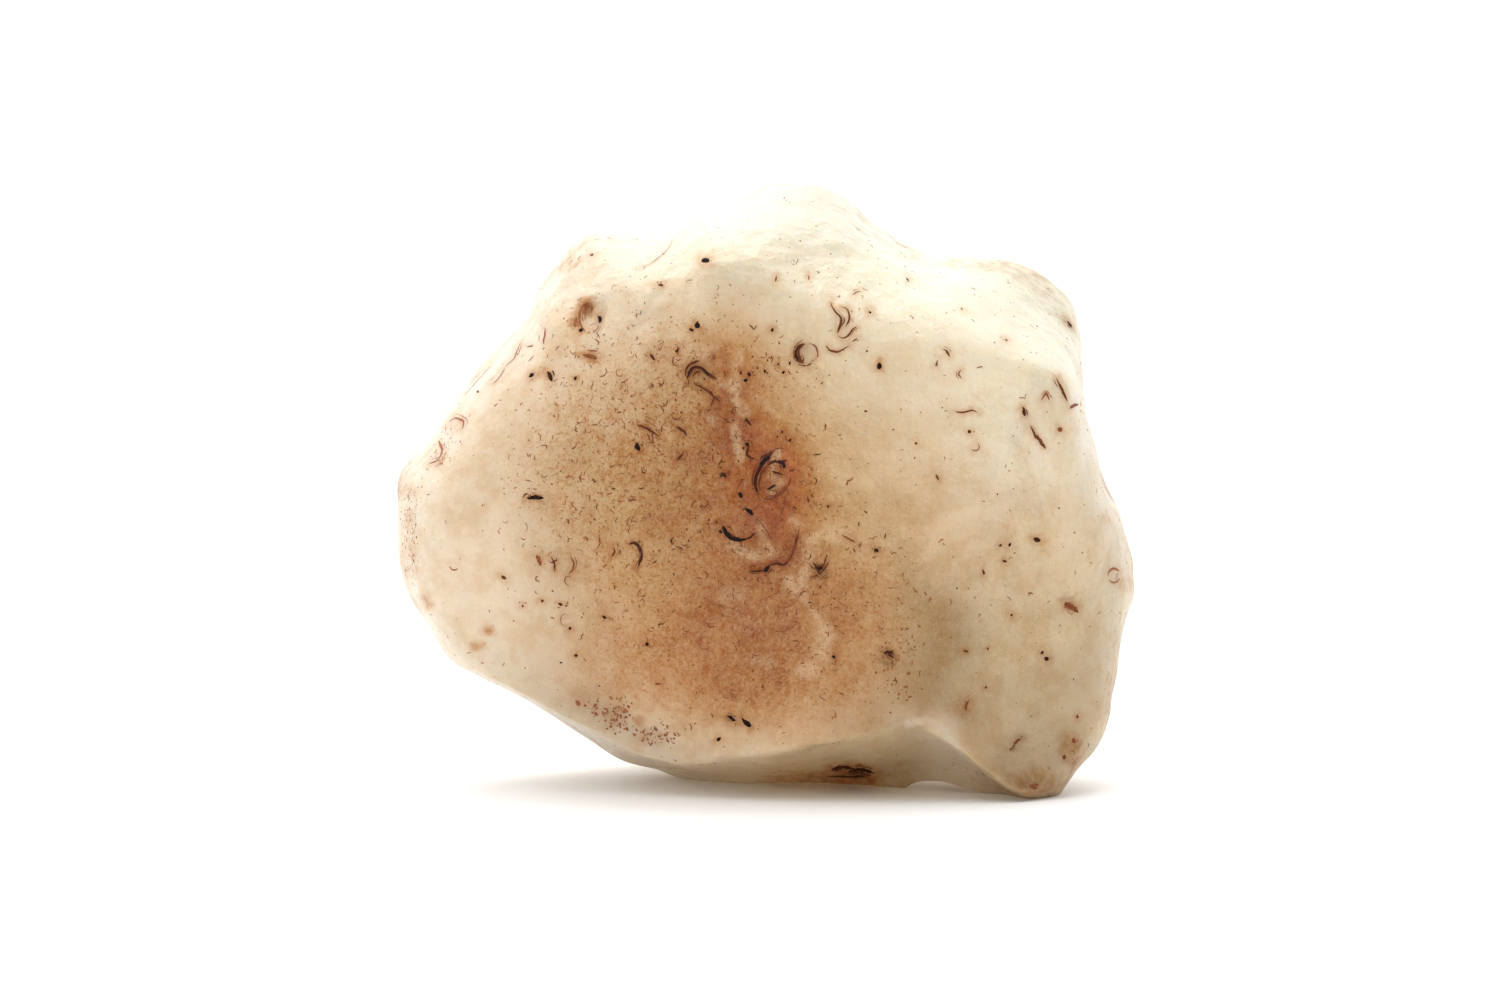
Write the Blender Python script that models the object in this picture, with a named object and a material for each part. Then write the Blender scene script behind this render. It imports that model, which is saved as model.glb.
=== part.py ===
"""Libyan desert glass: one wind-worn lump of natural glass, 44 mm across, standing on its worn base.

The lump has two sheets, a face at the front (-Y) and a back (+Y), that meet in one rim.
Seen from the front, the rim is OUTLINE. Inside it runs the brow, where the face turns over
to the rim: a soft shoulder on most of the stone, a crisp edge over the undercut by the toe.
+X is right, +Y is away from the viewer, +Z is up, and the base rests on Z = 0.
"""

import math

import bmesh
import bpy
import numpy as np
from mathutils import Matrix, Vector
from mathutils.bvhtree import BVHTree

MM = 0.001

# The heart is the point, as x and z, that every angle and reach on the two sheets is taken from.
HEART = np.array([0.0, 17.0])

# The rim seen from the front, as x and z in millimetres, anticlockwise from the right-hand side.
OUTLINE = [
    (22.1, 12.2), (21.8, 14.2), (21.2, 16.1), (20.3, 17.9), (19.8, 19.8), (19.2, 21.8),
    (19.0, 24.5), (18.8, 26.9), (18.3, 28.5), (17.3, 29.5), (15.9, 30.4), (13.4, 31.0),
    (10.8, 31.3), (8.7, 31.9), (6.2, 33.4), (4.4, 34.9), (2.9, 35.5), (1.2, 35.7),
    (-0.7, 35.2), (-2.4, 34.6), (-3.7, 34.4), (-4.6, 33.8), (-5.4, 33.0), (-6.9, 32.4),
    (-8.8, 32.5), (-10.5, 32.6), (-11.4, 32.0), (-12.9, 30.3), (-13.7, 29.2), (-14.1, 28.0),
    (-15.3, 26.5), (-16.9, 24.9), (-18.4, 23.0), (-19.3, 21.8), (-19.8, 20.8), (-21.1, 19.4),
    (-21.9, 18.2), (-22.1, 16.2), (-22.1, 14.4), (-21.8, 12.3), (-21.2, 10.6), (-20.2, 9.0),
    (-19.1, 7.2), (-17.4, 6.2), (-15.2, 5.2), (-12.5, 3.6), (-10.3, 2.2), (-8.5, 1.1),
    (-6.7, 0.7), (-5.2, 0.1), (-3.6, -0.5), (-1.4, -0.9), (2.0, -1.0), (5.4, -0.9),
    (7.4, -0.4), (8.9, 0.5), (10.4, 0.6), (12.2, 0.2), (14.2, -0.2), (15.8, -0.4),
    (17.0, -0.1), (17.6, 0.6), (18.4, 1.5), (19.4, 2.5), (20.1, 3.6), (20.8, 5.9),
    (21.2, 8.2), (21.6, 9.8), (22.1, 10.9),
]

# How far the rim leans to the front (-) or the back (+) in millimetres, by angle in degrees.
RIM_LEAN = [
    (0, 0.5), (35, 2.5), (70, 2.0), (100, 1.0), (135, 1.0), (170, 1.5), (200, 0.5),
    (235, -0.5), (262, -0.8), (284, -1.4), (298, -5.6), (311, -7.8), (322, -6.5), (340, -1.5),
]

# The brow: angle in degrees, its share of the way from the heart to the rim, and how crisp it is.
BROW = [
    (0, 0.90, 0.05), (12, 0.93, 0.10), (22, 0.92, 0.30), (33, 0.78, 0.55), (45, 0.80, 0.55),
    (57, 0.84, 0.45), (76, 0.89, 0.25), (95, 0.88, 0.10), (115, 0.84, 0.30), (135, 0.88, 0.35),
    (160, 0.89, 0.15), (185, 0.90, 0.05), (205, 0.92, 0.30), (220, 0.93, 0.70), (235, 0.90, 0.90),
    (250, 0.88, 1.00), (259, 0.81, 1.00), (271, 0.77, 1.00), (280, 0.74, 1.00), (290, 0.73, 1.00),
    (298, 0.715, 1.00), (307, 0.73, 0.90), (309, 0.80, 0.80), (311, 0.92, 0.50),
    (315, 0.94, 0.20), (325, 0.92, 0.10), (342, 0.88, 0.05),
]
# The back has no undercut, so its shoulder is softer all round.
SHOULDER = [
    (0, 0.80, 0.20), (50, 0.72, 0.50), (100, 0.80, 0.20), (150, 0.70, 0.55),
    (200, 0.80, 0.20), (250, 0.80, 0.40), (285, 0.84, 0.40), (310, 0.76, 0.30), (335, 0.80, 0.15),
]

# The broad worn facets of each sheet: depth at the heart, and its change for each mm of x and of z.
FACE_FACETS = [
    (12.6, 0.10, 0.00), (14.8, -0.26, 0.03), (29.2, -0.45, -1.22),
    (20.0, 0.50, -0.45), (16.9, 0.30, 0.35), (17.9, -0.50, 0.30),
]
BACK_FACETS = [
    (12.4, 0.12, 0.05), (14.2, -0.36, 0.10), (17.6, 0.10, -0.62),
    (16.2, 0.52, 0.22), (15.6, -0.10, 0.48),
]
FACET_BLEND = 1.2

# Shallow scooped hollows: x, z, half width and depth in millimetres.
FACE_HOLLOWS = [
    (-8.6, 29.0, 5.0, 0.90), (2.5, 31.0, 5.5, 0.60), (-14.5, 13.5, 7.5, 0.60),
    (-7.5, 7.0, 5.5, 0.55), (3.6, 9.5, 6.5, 0.45), (12.6, 12.5, 6.5, 0.70),
    (11.0, 21.5, 7.0, 0.50), (16.0, 5.8, 4.4, 0.60), (-12.5, 22.8, 5.5, 0.60),
    (17.4, 18.3, 4.2, 0.60), (-2.0, 21.2, 6.0, 0.40), (13.0, 28.6, 5.0, 0.60),
    (-0.5, 15.8, 2.4, 0.45),
]
BACK_HOLLOWS = [
    (-10.0, 24.5, 8.5, 1.60), (7.5, 27.0, 7.0, 1.10), (-13.0, 10.0, 7.0, 1.00),
    (3.0, 14.5, 8.0, 1.30), (14.5, 17.0, 6.5, 1.10), (-2.0, 31.5, 4.5, 0.60),
    (12.0, 6.5, 6.0, 0.70), (-4.5, 6.0, 5.0, 0.60),
]

# Open bubbles on the face: x, z, width, height and depth in millimetres.
BUBBLES = [
    (-10.0, 28.3, 1.6, 2.2, 0.55), (2.3, 26.4, 1.4, 1.4, 0.45), (0.3, 19.3, 2.2, 3.0, 0.40),
    (-3.8, 25.2, 2.2, 1.7, 0.40), (3.1, 13.7, 1.2, 1.0, 0.35), (15.0, 21.6, 1.5, 2.6, 0.40),
    (6.9, 8.7, 1.2, 1.1, 0.40), (17.6, 11.6, 1.2, 0.9, 0.30), (-2.0, 4.9, 1.5, 0.7, 0.30),
    (14.6, 3.3, 1.2, 1.6, 0.35),
]
# Crescent cracks on the face: x, z, radius, groove half width, and the angle its middle points to.
CRESCENTS = [
    (-7.4, 14.7, 0.80, 0.16, -10), (-1.6, 16.6, 0.90, 0.16, 235), (4.1, 28.4, 0.95, 0.17, 20),
    (4.3, 26.7, 0.90, 0.15, 250), (-3.0, 24.0, 0.85, 0.15, 60), (-13.0, 14.0, 0.70, 0.14, 150),
    (16.6, 23.2, 0.80, 0.15, 200), (-6.6, 21.8, 0.70, 0.14, 300),
]

RING_TIP = math.radians(14)

# Cells across each sheet, and from the heart out to the brow.
CELLS = 42
BROW_CELLS = 13


def closed_curve(stops, column=1):
    """A smooth closed curve, as a function of angle in degrees, through rows of angle and values."""
    table = np.array(sorted((row[0] % 360, row[column]) for row in stops), float)
    at = np.concatenate([table[-2:, 0] - 360, table[:, 0], table[:2, 0] + 360])
    value = np.concatenate([table[-2:, 1], table[:, 1], table[:2, 1]])
    slope = np.gradient(value, at)

    def curve(angle):
        angle = np.mod(angle, 360)
        i = np.clip(np.searchsorted(at, angle, side="right") - 1, 0, len(at) - 2)
        span = at[i + 1] - at[i]
        u = (angle - at[i]) / span
        rise = value[i + 1] - value[i]
        leave = slope[i] * span - rise
        arrive = rise - slope[i + 1] * span
        return value[i] + rise * u + u * (1 - u) * (leave * (1 - u) + arrive * u)

    return curve


def outline_stops():
    away = np.array(OUTLINE) - HEART
    return np.column_stack([np.degrees(np.arctan2(away[:, 1], away[:, 0])), np.hypot(*away.T)])


rim_reach = closed_curve(outline_stops())
rim_lean = closed_curve(RIM_LEAN)


def reach(angle, share):
    """How far the sheet runs from the heart. The chips in the rim fade out towards the heart."""
    plain = sum(rim_reach(angle + turn) for turn in (-14, -7, 0, 7, 14)) / 5
    return share * (plain + (rim_reach(angle) - plain) * share**4)


def lesser(a, b, blend):
    """The smaller of a and b, with the corner between them rounded over a width of blend."""
    mix = np.maximum(blend - np.abs(a - b), 0) / blend
    return np.minimum(a, b) - 0.25 * blend * mix**2


def roof(facets, x, z):
    """The depth of the stone under its broad facets: the least of their sloping planes."""
    depth = np.full_like(x, 99.0)
    for at_heart, per_x, per_z in facets:
        depth = lesser(depth, at_heart + per_x * x + per_z * (z - HEART[1]), FACET_BLEND)
    return np.maximum(depth, 2.0)


def scooped(hollows, x, z):
    """How deep the hollows cut in. Each is a round cup with a soft edge; the deepest one counts."""
    cut = np.zeros_like(x)
    for at_x, at_z, half, depth in hollows:
        inside = np.clip(1 - ((x - at_x) ** 2 + (z - at_z) ** 2) / half**2, 0, 1)
        cut = np.maximum(cut, depth * inside**1.5)
    return cut


def sheet(angle, ring, brow, facets, hollows):
    """Points of one sheet: x, z, its depth from the rim, and their share of the way to the rim.

    ring runs from 0 at the heart to 1 at the rim, and passes the brow at BROW_CELLS cells.
    """
    shoulder = closed_curve(brow, 1)(angle)
    crisp = np.clip(closed_curve(brow, 2)(angle), 0, 1)
    at_brow = BROW_CELLS / (CELLS / 2)
    outer = np.clip((ring - at_brow) / (1 - at_brow), 0, 1)
    beyond = 1 - (1 - shoulder) * (1 - outer) ** (2 - 0.7 * crisp)
    share = np.where(ring < at_brow, shoulder * ring / at_brow, beyond)
    x = HEART[0] + reach(angle, share) * np.cos(np.radians(angle))
    z = HEART[1] + reach(angle, share) * np.sin(np.radians(angle))
    dome = 1 - 0.12 * share**2
    bevel = ((1 - share) / (1 - shoulder)) ** (0.5 + 0.5 * crisp)
    profile = lesser(dome, bevel, 0.40 - 0.37 * crisp)
    depth = profile * roof(facets, x, z) - scooped(hollows, x, z) * np.clip(1.5 * bevel, 0, 1)
    return x, z, np.maximum(depth, 0), share


def disc(a, b):
    """Where a point of the square from -1 to 1 lies on a disc: its angle in degrees and its ring.

    The rays stand closer together by the edge that runs down to the toe, near 308 degrees.
    """
    ring = np.maximum(np.abs(a), np.abs(b))
    wide = np.abs(a) >= np.abs(b)
    safe = np.where(ring > 0, ring, 1)
    turn = np.where(wide, 45 * b / safe * np.sign(a), 90 - 45 * a / safe * np.sign(b))
    turn = np.mod(turn + np.where(np.where(wide, a, b) < 0, 180, 0), 360)
    near_toe = np.clip((turn - 308) / 50, -1, 1)
    return turn - 7 * np.sin(math.pi * near_toe), ring


def stone_points(a, b, front):
    angle, ring = disc(a, b)
    if front:
        x, z, depth, share = sheet(angle, ring, BROW, FACE_FACETS, FACE_HOLLOWS)
        depth = -depth
    else:
        x, z, depth, share = sheet(angle, ring, SHOULDER, BACK_FACETS, BACK_HOLLOWS)
    return np.column_stack([x, depth + rim_lean(angle) * share**3, z])


def make_object(name, mesh, cutter=False):
    data = bpy.data.meshes.new(name)
    mesh.to_mesh(data)
    mesh.free()
    item = bpy.data.objects.new(name, data)
    bpy.context.scene.collection.objects.link(item)
    if cutter:
        item.hide_render = True
        item.display_type = "WIRE"
    return item


def grind_base(mesh):
    """Cut the stone off flat at Z = 0 and close the flat it leaves."""
    parts = mesh.verts[:] + mesh.edges[:] + mesh.faces[:]
    bmesh.ops.bisect_plane(
        mesh, geom=parts, dist=0.0001 * MM, plane_co=(0, 0, 0), plane_no=(0, 0, -1), clear_outer=True
    )
    bmesh.ops.holes_fill(mesh, edges=[edge for edge in mesh.edges if edge.is_boundary], sides=0)


def build_stone():
    mesh = bmesh.new()
    for front in (True, False):
        made = bmesh.ops.create_grid(mesh, x_segments=CELLS, y_segments=CELLS, size=1)["verts"]
        grid = np.array([vert.co[:2] for vert in made])
        for vert, place in zip(made, stone_points(*grid.T, front)):
            vert.co = place * MM
    bmesh.ops.remove_doubles(mesh, verts=mesh.verts, dist=0.01 * MM)
    bmesh.ops.triangulate(mesh, faces=mesh.faces, quad_method="SHORT_EDGE")
    grind_base(mesh)
    bmesh.ops.recalc_face_normals(mesh, faces=mesh.faces)
    return make_object("libyan_desert_glass", mesh)


def on_face(tree, x, z):
    """The point of the face at x and z, and the direction out of the stone there."""
    point, normal, _, _ = tree.ray_cast(Vector((x * MM, -40 * MM, z * MM)), Vector((0, 1, 0)))
    return point, normal


def bubble_cutter(tree, x, z, width, height, depth):
    """An egg whose end opens a hollow of this width, height and depth in the face."""
    point, normal = on_face(tree, x, z)
    half = Vector((width, height, 2 * depth)) * MM * 0.5
    mesh = bmesh.new()
    bmesh.ops.create_icosphere(mesh, subdivisions=2, radius=1)
    turn = normal.to_track_quat("Z", "Y").to_matrix().to_4x4()
    shape = Matrix.Translation(point + normal * half.z * 0.3) @ turn
    shape = shape @ Matrix.Diagonal((half.x * 1.05, half.y * 1.05, half.z * 1.3, 1))
    bmesh.ops.transform(mesh, matrix=shape, verts=mesh.verts)
    return make_object("bubble", mesh, cutter=True)


def crescent_cutter(tree, x, z, radius, groove, toward):
    """A thin ring tipped so that only its low side meets the face, where it cuts a crescent."""
    point, normal = on_face(tree, x, z)
    mesh = bmesh.new()
    across = [bmesh.ops.create_circle(mesh, segments=6, radius=groove * MM)["verts"]]
    for vert in across[0]:
        vert.co = Vector((vert.co.x + radius * MM, 0, vert.co.y))
    edges = [edge for edge in mesh.edges]
    bmesh.ops.spin(
        mesh, geom=edges, cent=(0, 0, 0), axis=(0, 0, 1), angle=2 * math.pi, steps=18,
        use_merge=True,
    )
    bmesh.ops.remove_doubles(mesh, verts=mesh.verts, dist=0.001 * MM)
    bmesh.ops.recalc_face_normals(mesh, faces=mesh.faces)
    turn = normal.to_track_quat("Z", "Y").to_matrix().to_4x4()
    tip = Matrix.Rotation(math.radians(toward), 4, "Z") @ Matrix.Rotation(RING_TIP, 4, "Y")
    lift = Matrix.Translation(point + normal * radius * MM * math.sin(RING_TIP))
    bmesh.ops.transform(mesh, matrix=lift @ turn @ tip, verts=mesh.verts)
    return make_object("crescent", mesh, cutter=True)


def cut(stone, cutters):
    for cutter in cutters:
        step = stone.modifiers.new(cutter.name, "BOOLEAN")
        step.operation = "DIFFERENCE"
        step.solver = "EXACT"
        step.object = cutter


def glass():
    material = bpy.data.materials.new("desert glass")
    material.use_nodes = True
    shader = material.node_tree.nodes["Principled BSDF"]
    shader.inputs["Base Color"].default_value = (0.62, 0.44, 0.27, 1)
    shader.inputs["Roughness"].default_value = 0.35
    shader.inputs["Metallic"].default_value = 0.0
    return material


def main():
    for old in list(bpy.data.objects):
        bpy.data.objects.remove(old)
    stone = build_stone()
    bpy.context.view_layer.update()
    tree = BVHTree.FromObject(stone, bpy.context.evaluated_depsgraph_get())
    cut(stone, [bubble_cutter(tree, *bubble) for bubble in BUBBLES])
    cut(stone, [crescent_cutter(tree, *crescent) for crescent in CRESCENTS])
    stone.data.materials.append(glass())


main()
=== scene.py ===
"""Dresses the lump of desert glass: its worn skin, its cloudy stained glass, its scars, and the studio."""

import math

import bpy
import numpy as np
from bpy.props import FloatProperty, FloatVectorProperty, IntProperty, PointerProperty
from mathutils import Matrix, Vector


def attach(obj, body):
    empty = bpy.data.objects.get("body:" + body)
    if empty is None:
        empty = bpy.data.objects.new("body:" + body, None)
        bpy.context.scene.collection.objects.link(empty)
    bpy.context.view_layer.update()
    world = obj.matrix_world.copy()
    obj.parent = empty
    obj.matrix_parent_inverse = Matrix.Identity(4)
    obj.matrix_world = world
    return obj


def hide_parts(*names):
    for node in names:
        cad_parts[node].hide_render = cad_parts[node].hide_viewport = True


bl_info = {
    "name": "Desert Glass",
    "version": (1, 0, 0),
    "blender": (4, 5, 0),
    "location": "View3D > Sidebar > Desert Glass",
    "description": "Makes a wind-worn lump of cloudy natural glass on a pale studio floor",
    "category": "Add Mesh",
}

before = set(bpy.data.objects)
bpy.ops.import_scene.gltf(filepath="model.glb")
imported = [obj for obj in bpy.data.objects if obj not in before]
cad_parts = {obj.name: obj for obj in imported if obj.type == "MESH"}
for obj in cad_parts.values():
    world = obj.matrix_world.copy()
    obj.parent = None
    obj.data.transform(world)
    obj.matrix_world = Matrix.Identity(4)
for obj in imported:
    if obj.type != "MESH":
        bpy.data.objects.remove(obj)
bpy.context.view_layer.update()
NODE = "libyan_desert_glass"
MM = 0.001

# ---- The form, in millimetres: x to the right, y away, z up. ----

HEART = np.array([0.0, 17.0])

# The rim seen from the front, as x and z, anticlockwise from the right-hand side.
OUTLINE = [
    (22.1, 12.2), (21.8, 14.2), (21.2, 16.1), (20.3, 17.9), (19.8, 19.8), (19.2, 21.8),
    (19.0, 24.5), (18.8, 26.9), (18.3, 28.5), (17.3, 29.5), (15.9, 30.4), (13.4, 31.0),
    (10.8, 31.3), (8.7, 31.9), (6.2, 33.4), (4.4, 34.9), (2.9, 35.5), (1.2, 35.7),
    (-0.7, 35.2), (-2.4, 34.6), (-3.7, 34.4), (-4.6, 33.8), (-5.4, 33.0), (-6.9, 32.4),
    (-8.8, 32.5), (-10.5, 32.6), (-11.4, 32.0), (-12.9, 30.3), (-13.7, 29.2), (-14.1, 28.0),
    (-15.3, 26.5), (-16.9, 24.9), (-18.4, 23.0), (-19.3, 21.8), (-19.8, 20.8), (-21.1, 19.4),
    (-21.9, 18.2), (-22.1, 16.2), (-22.1, 14.4), (-21.8, 12.3), (-21.2, 10.6), (-20.2, 9.0),
    (-19.1, 7.2), (-17.4, 6.2), (-15.2, 5.2), (-12.5, 3.6), (-10.3, 2.2), (-8.5, 1.1),
    (-6.7, 0.7), (-5.2, 0.1), (-3.6, -0.5), (-1.4, -0.9), (2.0, -1.0), (5.4, -0.9),
    (7.4, -0.4), (8.9, 0.5), (10.4, 0.6), (12.2, 0.2), (14.2, -0.2), (15.8, -0.4),
    (17.0, -0.1), (17.6, 0.6), (18.4, 1.5), (19.4, 2.5), (20.1, 3.6), (20.8, 5.9),
    (21.2, 8.2), (21.6, 9.8), (22.1, 10.9),
]
# How far the rim leans to the front (-) or the back (+), by angle in degrees.
RIM_LEAN = [
    (0, 0.5), (35, 2.5), (70, 2.0), (100, 1.0), (135, 1.0), (170, 1.5), (200, 0.5),
    (235, -0.5), (262, -0.8), (284, -1.4), (298, -5.6), (311, -7.8), (322, -6.5), (340, -1.5),
]
# The brow of the face: angle, share of the way from the heart to the rim, and crispness.
BROW = [
    (0, 0.90, 0.05), (12, 0.93, 0.10), (22, 0.92, 0.30), (33, 0.78, 0.55), (45, 0.80, 0.55),
    (57, 0.84, 0.45), (76, 0.89, 0.25), (95, 0.88, 0.10), (115, 0.84, 0.30), (135, 0.88, 0.35),
    (160, 0.89, 0.15), (185, 0.90, 0.05), (205, 0.92, 0.30), (220, 0.93, 0.70), (235, 0.90, 0.90),
    (250, 0.88, 1.00), (259, 0.81, 1.00), (271, 0.77, 1.00), (280, 0.74, 1.00), (290, 0.73, 1.00),
    (298, 0.715, 1.00), (307, 0.73, 0.90), (309, 0.80, 0.80), (311, 0.92, 0.50),
    (315, 0.94, 0.20), (325, 0.92, 0.10), (342, 0.88, 0.05),
]
# The shoulder of the back, in the same way.
SHOULDER = [
    (0, 0.80, 0.20), (50, 0.72, 0.50), (100, 0.80, 0.20), (150, 0.70, 0.55),
    (200, 0.80, 0.20), (250, 0.80, 0.40), (285, 0.84, 0.40), (310, 0.76, 0.30), (335, 0.80, 0.15),
]
# The broad facets: depth at the heart, and its change for each mm of x and of z.
FACE_FACETS = [
    (12.6, 0.10, 0.00), (14.8, -0.26, 0.03), (29.2, -0.45, -1.22),
    (20.0, 0.50, -0.45), (16.9, 0.30, 0.35), (17.9, -0.50, 0.30),
]
BACK_FACETS = [
    (12.4, 0.12, 0.05), (14.2, -0.36, 0.10), (17.6, 0.10, -0.62),
    (16.2, 0.52, 0.22), (15.6, -0.10, 0.48),
]
FACET_BLEND = 1.2
# Shallow scooped hollows: x, z, half width and depth.
FACE_HOLLOWS = [
    (-8.6, 29.0, 5.0, 0.90), (2.5, 31.0, 5.5, 0.60), (-14.5, 13.5, 7.5, 0.60),
    (-7.5, 7.0, 5.5, 0.55), (3.6, 9.5, 6.5, 0.45), (12.6, 12.5, 6.5, 0.70),
    (11.0, 21.5, 7.0, 0.50), (16.0, 5.8, 4.4, 0.60), (-12.5, 22.8, 5.5, 0.60),
    (17.4, 18.3, 4.2, 0.60), (-2.0, 21.2, 6.0, 0.40), (13.0, 28.6, 5.0, 0.60),
    (-0.5, 15.8, 2.4, 0.45),
]
BACK_HOLLOWS = [
    (-10.0, 24.5, 8.5, 1.60), (7.5, 27.0, 7.0, 1.10), (-13.0, 10.0, 7.0, 1.00),
    (3.0, 14.5, 8.0, 1.30), (14.5, 17.0, 6.5, 1.10), (-2.0, 31.5, 4.5, 0.60),
    (12.0, 6.5, 6.0, 0.70), (-4.5, 6.0, 5.0, 0.60),
]
# Open bubbles on the face: x, z, width, height and depth.
BUBBLES = [
    (-10.0, 28.3, 1.6, 2.2, 0.45), (2.3, 26.4, 1.5, 1.5, 0.40), (0.3, 19.3, 2.2, 3.0, 0.35),
    (-3.8, 25.2, 2.2, 1.7, 0.25), (3.1, 13.7, 1.2, 1.0, 0.25), (15.0, 21.6, 1.5, 2.6, 0.25),
    (6.9, 8.7, 1.2, 1.1, 0.30), (17.6, 11.6, 1.2, 0.9, 0.20), (-2.0, 4.9, 1.5, 0.7, 0.20),
    (14.6, 3.3, 1.2, 1.6, 0.25),
]


def closed_curve(stops, column=1):
    """A smooth closed curve through rows of angle and values: cubic between each two stops."""
    table = np.array(sorted((row[0] % 360, row[column]) for row in stops), float)
    at = np.concatenate([table[-2:, 0] - 360, table[:, 0], table[:2, 0] + 360])
    value = np.concatenate([table[-2:, 1], table[:, 1], table[:2, 1]])
    slope = np.gradient(value, at)

    def curve(angle):
        angle = np.mod(angle, 360)
        i = np.clip(np.searchsorted(at, angle, side="right") - 1, 0, len(at) - 2)
        span = at[i + 1] - at[i]
        u = (angle - at[i]) / span
        rise = value[i + 1] - value[i]
        leave = slope[i] * span - rise
        arrive = rise - slope[i + 1] * span
        return value[i] + rise * u + u * (1 - u) * (leave * (1 - u) + arrive * u)

    return curve


def outline_stops():
    """The outline as rows of angle about the heart and distance from it."""
    away = np.array(OUTLINE) - HEART
    return np.column_stack([np.degrees(np.arctan2(away[:, 1], away[:, 0])), np.hypot(*away.T)])


rim_reach = closed_curve(outline_stops())
rim_lean = closed_curve(RIM_LEAN)


def reach(angle, share):
    """How far a sheet runs from the heart: the share of the rim's reach, its chips fading inwards."""
    plain = sum(rim_reach(angle + turn) for turn in (-14, -7, 0, 7, 14)) / 5
    return share * (plain + (rim_reach(angle) - plain) * share**4)


def lesser(a, b, blend):
    """The smaller of a and b, less a quarter of blend where they are equal, so the corner is round."""
    mix = np.maximum(blend - np.abs(a - b), 0) / blend
    return np.minimum(a, b) - 0.25 * blend * mix**2


def roof(facets, x, z):
    """The depth under the broad facets: the least of their sloping planes."""
    depth = np.full_like(x, 99.0)
    for at_heart, per_x, per_z in facets:
        depth = lesser(depth, at_heart + per_x * x + per_z * (z - HEART[1]), FACET_BLEND)
    return np.maximum(depth, 2.0)


def scooped(hollows, x, z):
    """How deep the hollows cut: for each, depth times (1 - distance squared) to the power 1.5."""
    cut = np.zeros_like(x)
    for at_x, at_z, half, depth in hollows:
        inside = np.clip(1 - ((x - at_x) ** 2 + (z - at_z) ** 2) / half**2, 0, 1)
        cut = np.maximum(cut, depth * inside**1.5)
    return cut


def bubbled(x, z):
    """How deep the open bubbles cut: steep-walled cups, 1 less the fourth power of the distance."""
    cut = np.zeros_like(x)
    for at_x, at_z, width, height, depth in BUBBLES:
        off = ((x - at_x) / (0.5 * width)) ** 2 + ((z - at_z) / (0.5 * height)) ** 2
        cut = np.maximum(cut, depth * np.clip(1 - off**2, 0, 1))
    return cut


# The ring of the grid that follows the brow or the shoulder.
BROW_RING = 13 / 21


def sheet(angle, ring, brow, facets, hollows, bubbles):
    """Points of one sheet, a function of angle and ring, which runs from 0 at the heart to 1 at the rim.

    Along a ray the depth is the lesser of a shallow dome and a bevel that falls to nothing at the
    rim, times the roof of facets, less the hollows and the open bubbles.
    """
    shoulder = closed_curve(brow, 1)(angle)
    crisp = np.clip(closed_curve(brow, 2)(angle), 0, 1)
    outer = np.clip((ring - BROW_RING) / (1 - BROW_RING), 0, 1)
    beyond = 1 - (1 - shoulder) * (1 - outer) ** (2 - 0.7 * crisp)
    share = np.where(ring < BROW_RING, shoulder * ring / BROW_RING, beyond)
    x = HEART[0] + reach(angle, share) * np.cos(np.radians(angle))
    z = HEART[1] + reach(angle, share) * np.sin(np.radians(angle))
    dome = 1 - 0.12 * share**2
    bevel = ((1 - share) / (1 - shoulder)) ** (0.5 + 0.5 * crisp)
    profile = lesser(dome, bevel, 0.40 - 0.37 * crisp)
    cut = scooped(hollows, x, z) * np.clip(1.5 * bevel, 0, 1)
    if bubbles:
        cut = cut + bubbled(x, z) * np.clip(3 * bevel, 0, 1)
    return x, z, np.maximum(profile * roof(facets, x, z) - cut, 0), share


def disc(a, b):
    """Angle and ring on a disc of a point of the square from -1 to 1, rays closer by 308 degrees."""
    ring = np.maximum(np.abs(a), np.abs(b))
    wide = np.abs(a) >= np.abs(b)
    safe = np.where(ring > 0, ring, 1)
    turn = np.where(wide, 45 * b / safe * np.sign(a), 90 - 45 * a / safe * np.sign(b))
    turn = np.mod(turn + np.where(np.where(wide, a, b) < 0, 180, 0), 360)
    near_toe = np.clip((turn - 308) / 50, -1, 1)
    return turn - 7 * np.sin(math.pi * near_toe), ring


# Noise and scoops repeat after this many cells each way.
LATTICE = 16


def lattice_noise(points, size, seed):
    """Soft noise from -1 to 1: random values on a lattice of this size, blended smoothly between."""
    values = np.random.default_rng(seed).uniform(-1, 1, 3 * (LATTICE,))
    place = points / size
    cell = np.floor(place).astype(int)
    part = place - cell
    part = part * part * (3 - 2 * part)
    total = np.zeros(len(points))
    for corner in np.ndindex(2, 2, 2):
        at = (cell + corner) % LATTICE
        weight = np.prod(np.where(np.array(corner) == 1, part, 1 - part), axis=1)
        total += weight * values[at[:, 0], at[:, 1], at[:, 2]]
    return total


def layered(points, *layers):
    """Several such noises in one: the strength, size and seed of each."""
    return sum(strength * lattice_noise(points, size, seed) for strength, size, seed in layers)


def worn_cells(points, size, softness, seed):
    """Scoops that meet in ridges: the distance to the nearest of a jittered lattice of points.

    The least distance is taken softly, as minus the log of the summed exponentials.
    """
    jitter = np.random.default_rng(seed).uniform(0.05, 0.95, (*3 * (LATTICE,), 3))
    place = points / size
    cell = np.floor(place).astype(int)
    total = np.zeros(len(points))
    for step in np.ndindex(3, 3, 3):
        at = cell + np.array(step) - 1
        wrapped = at % LATTICE
        site = at + jitter[wrapped[:, 0], wrapped[:, 1], wrapped[:, 2]]
        total += np.exp(-np.linalg.norm(place - site, axis=1) / softness)
    return -softness * np.log(total)


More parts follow.
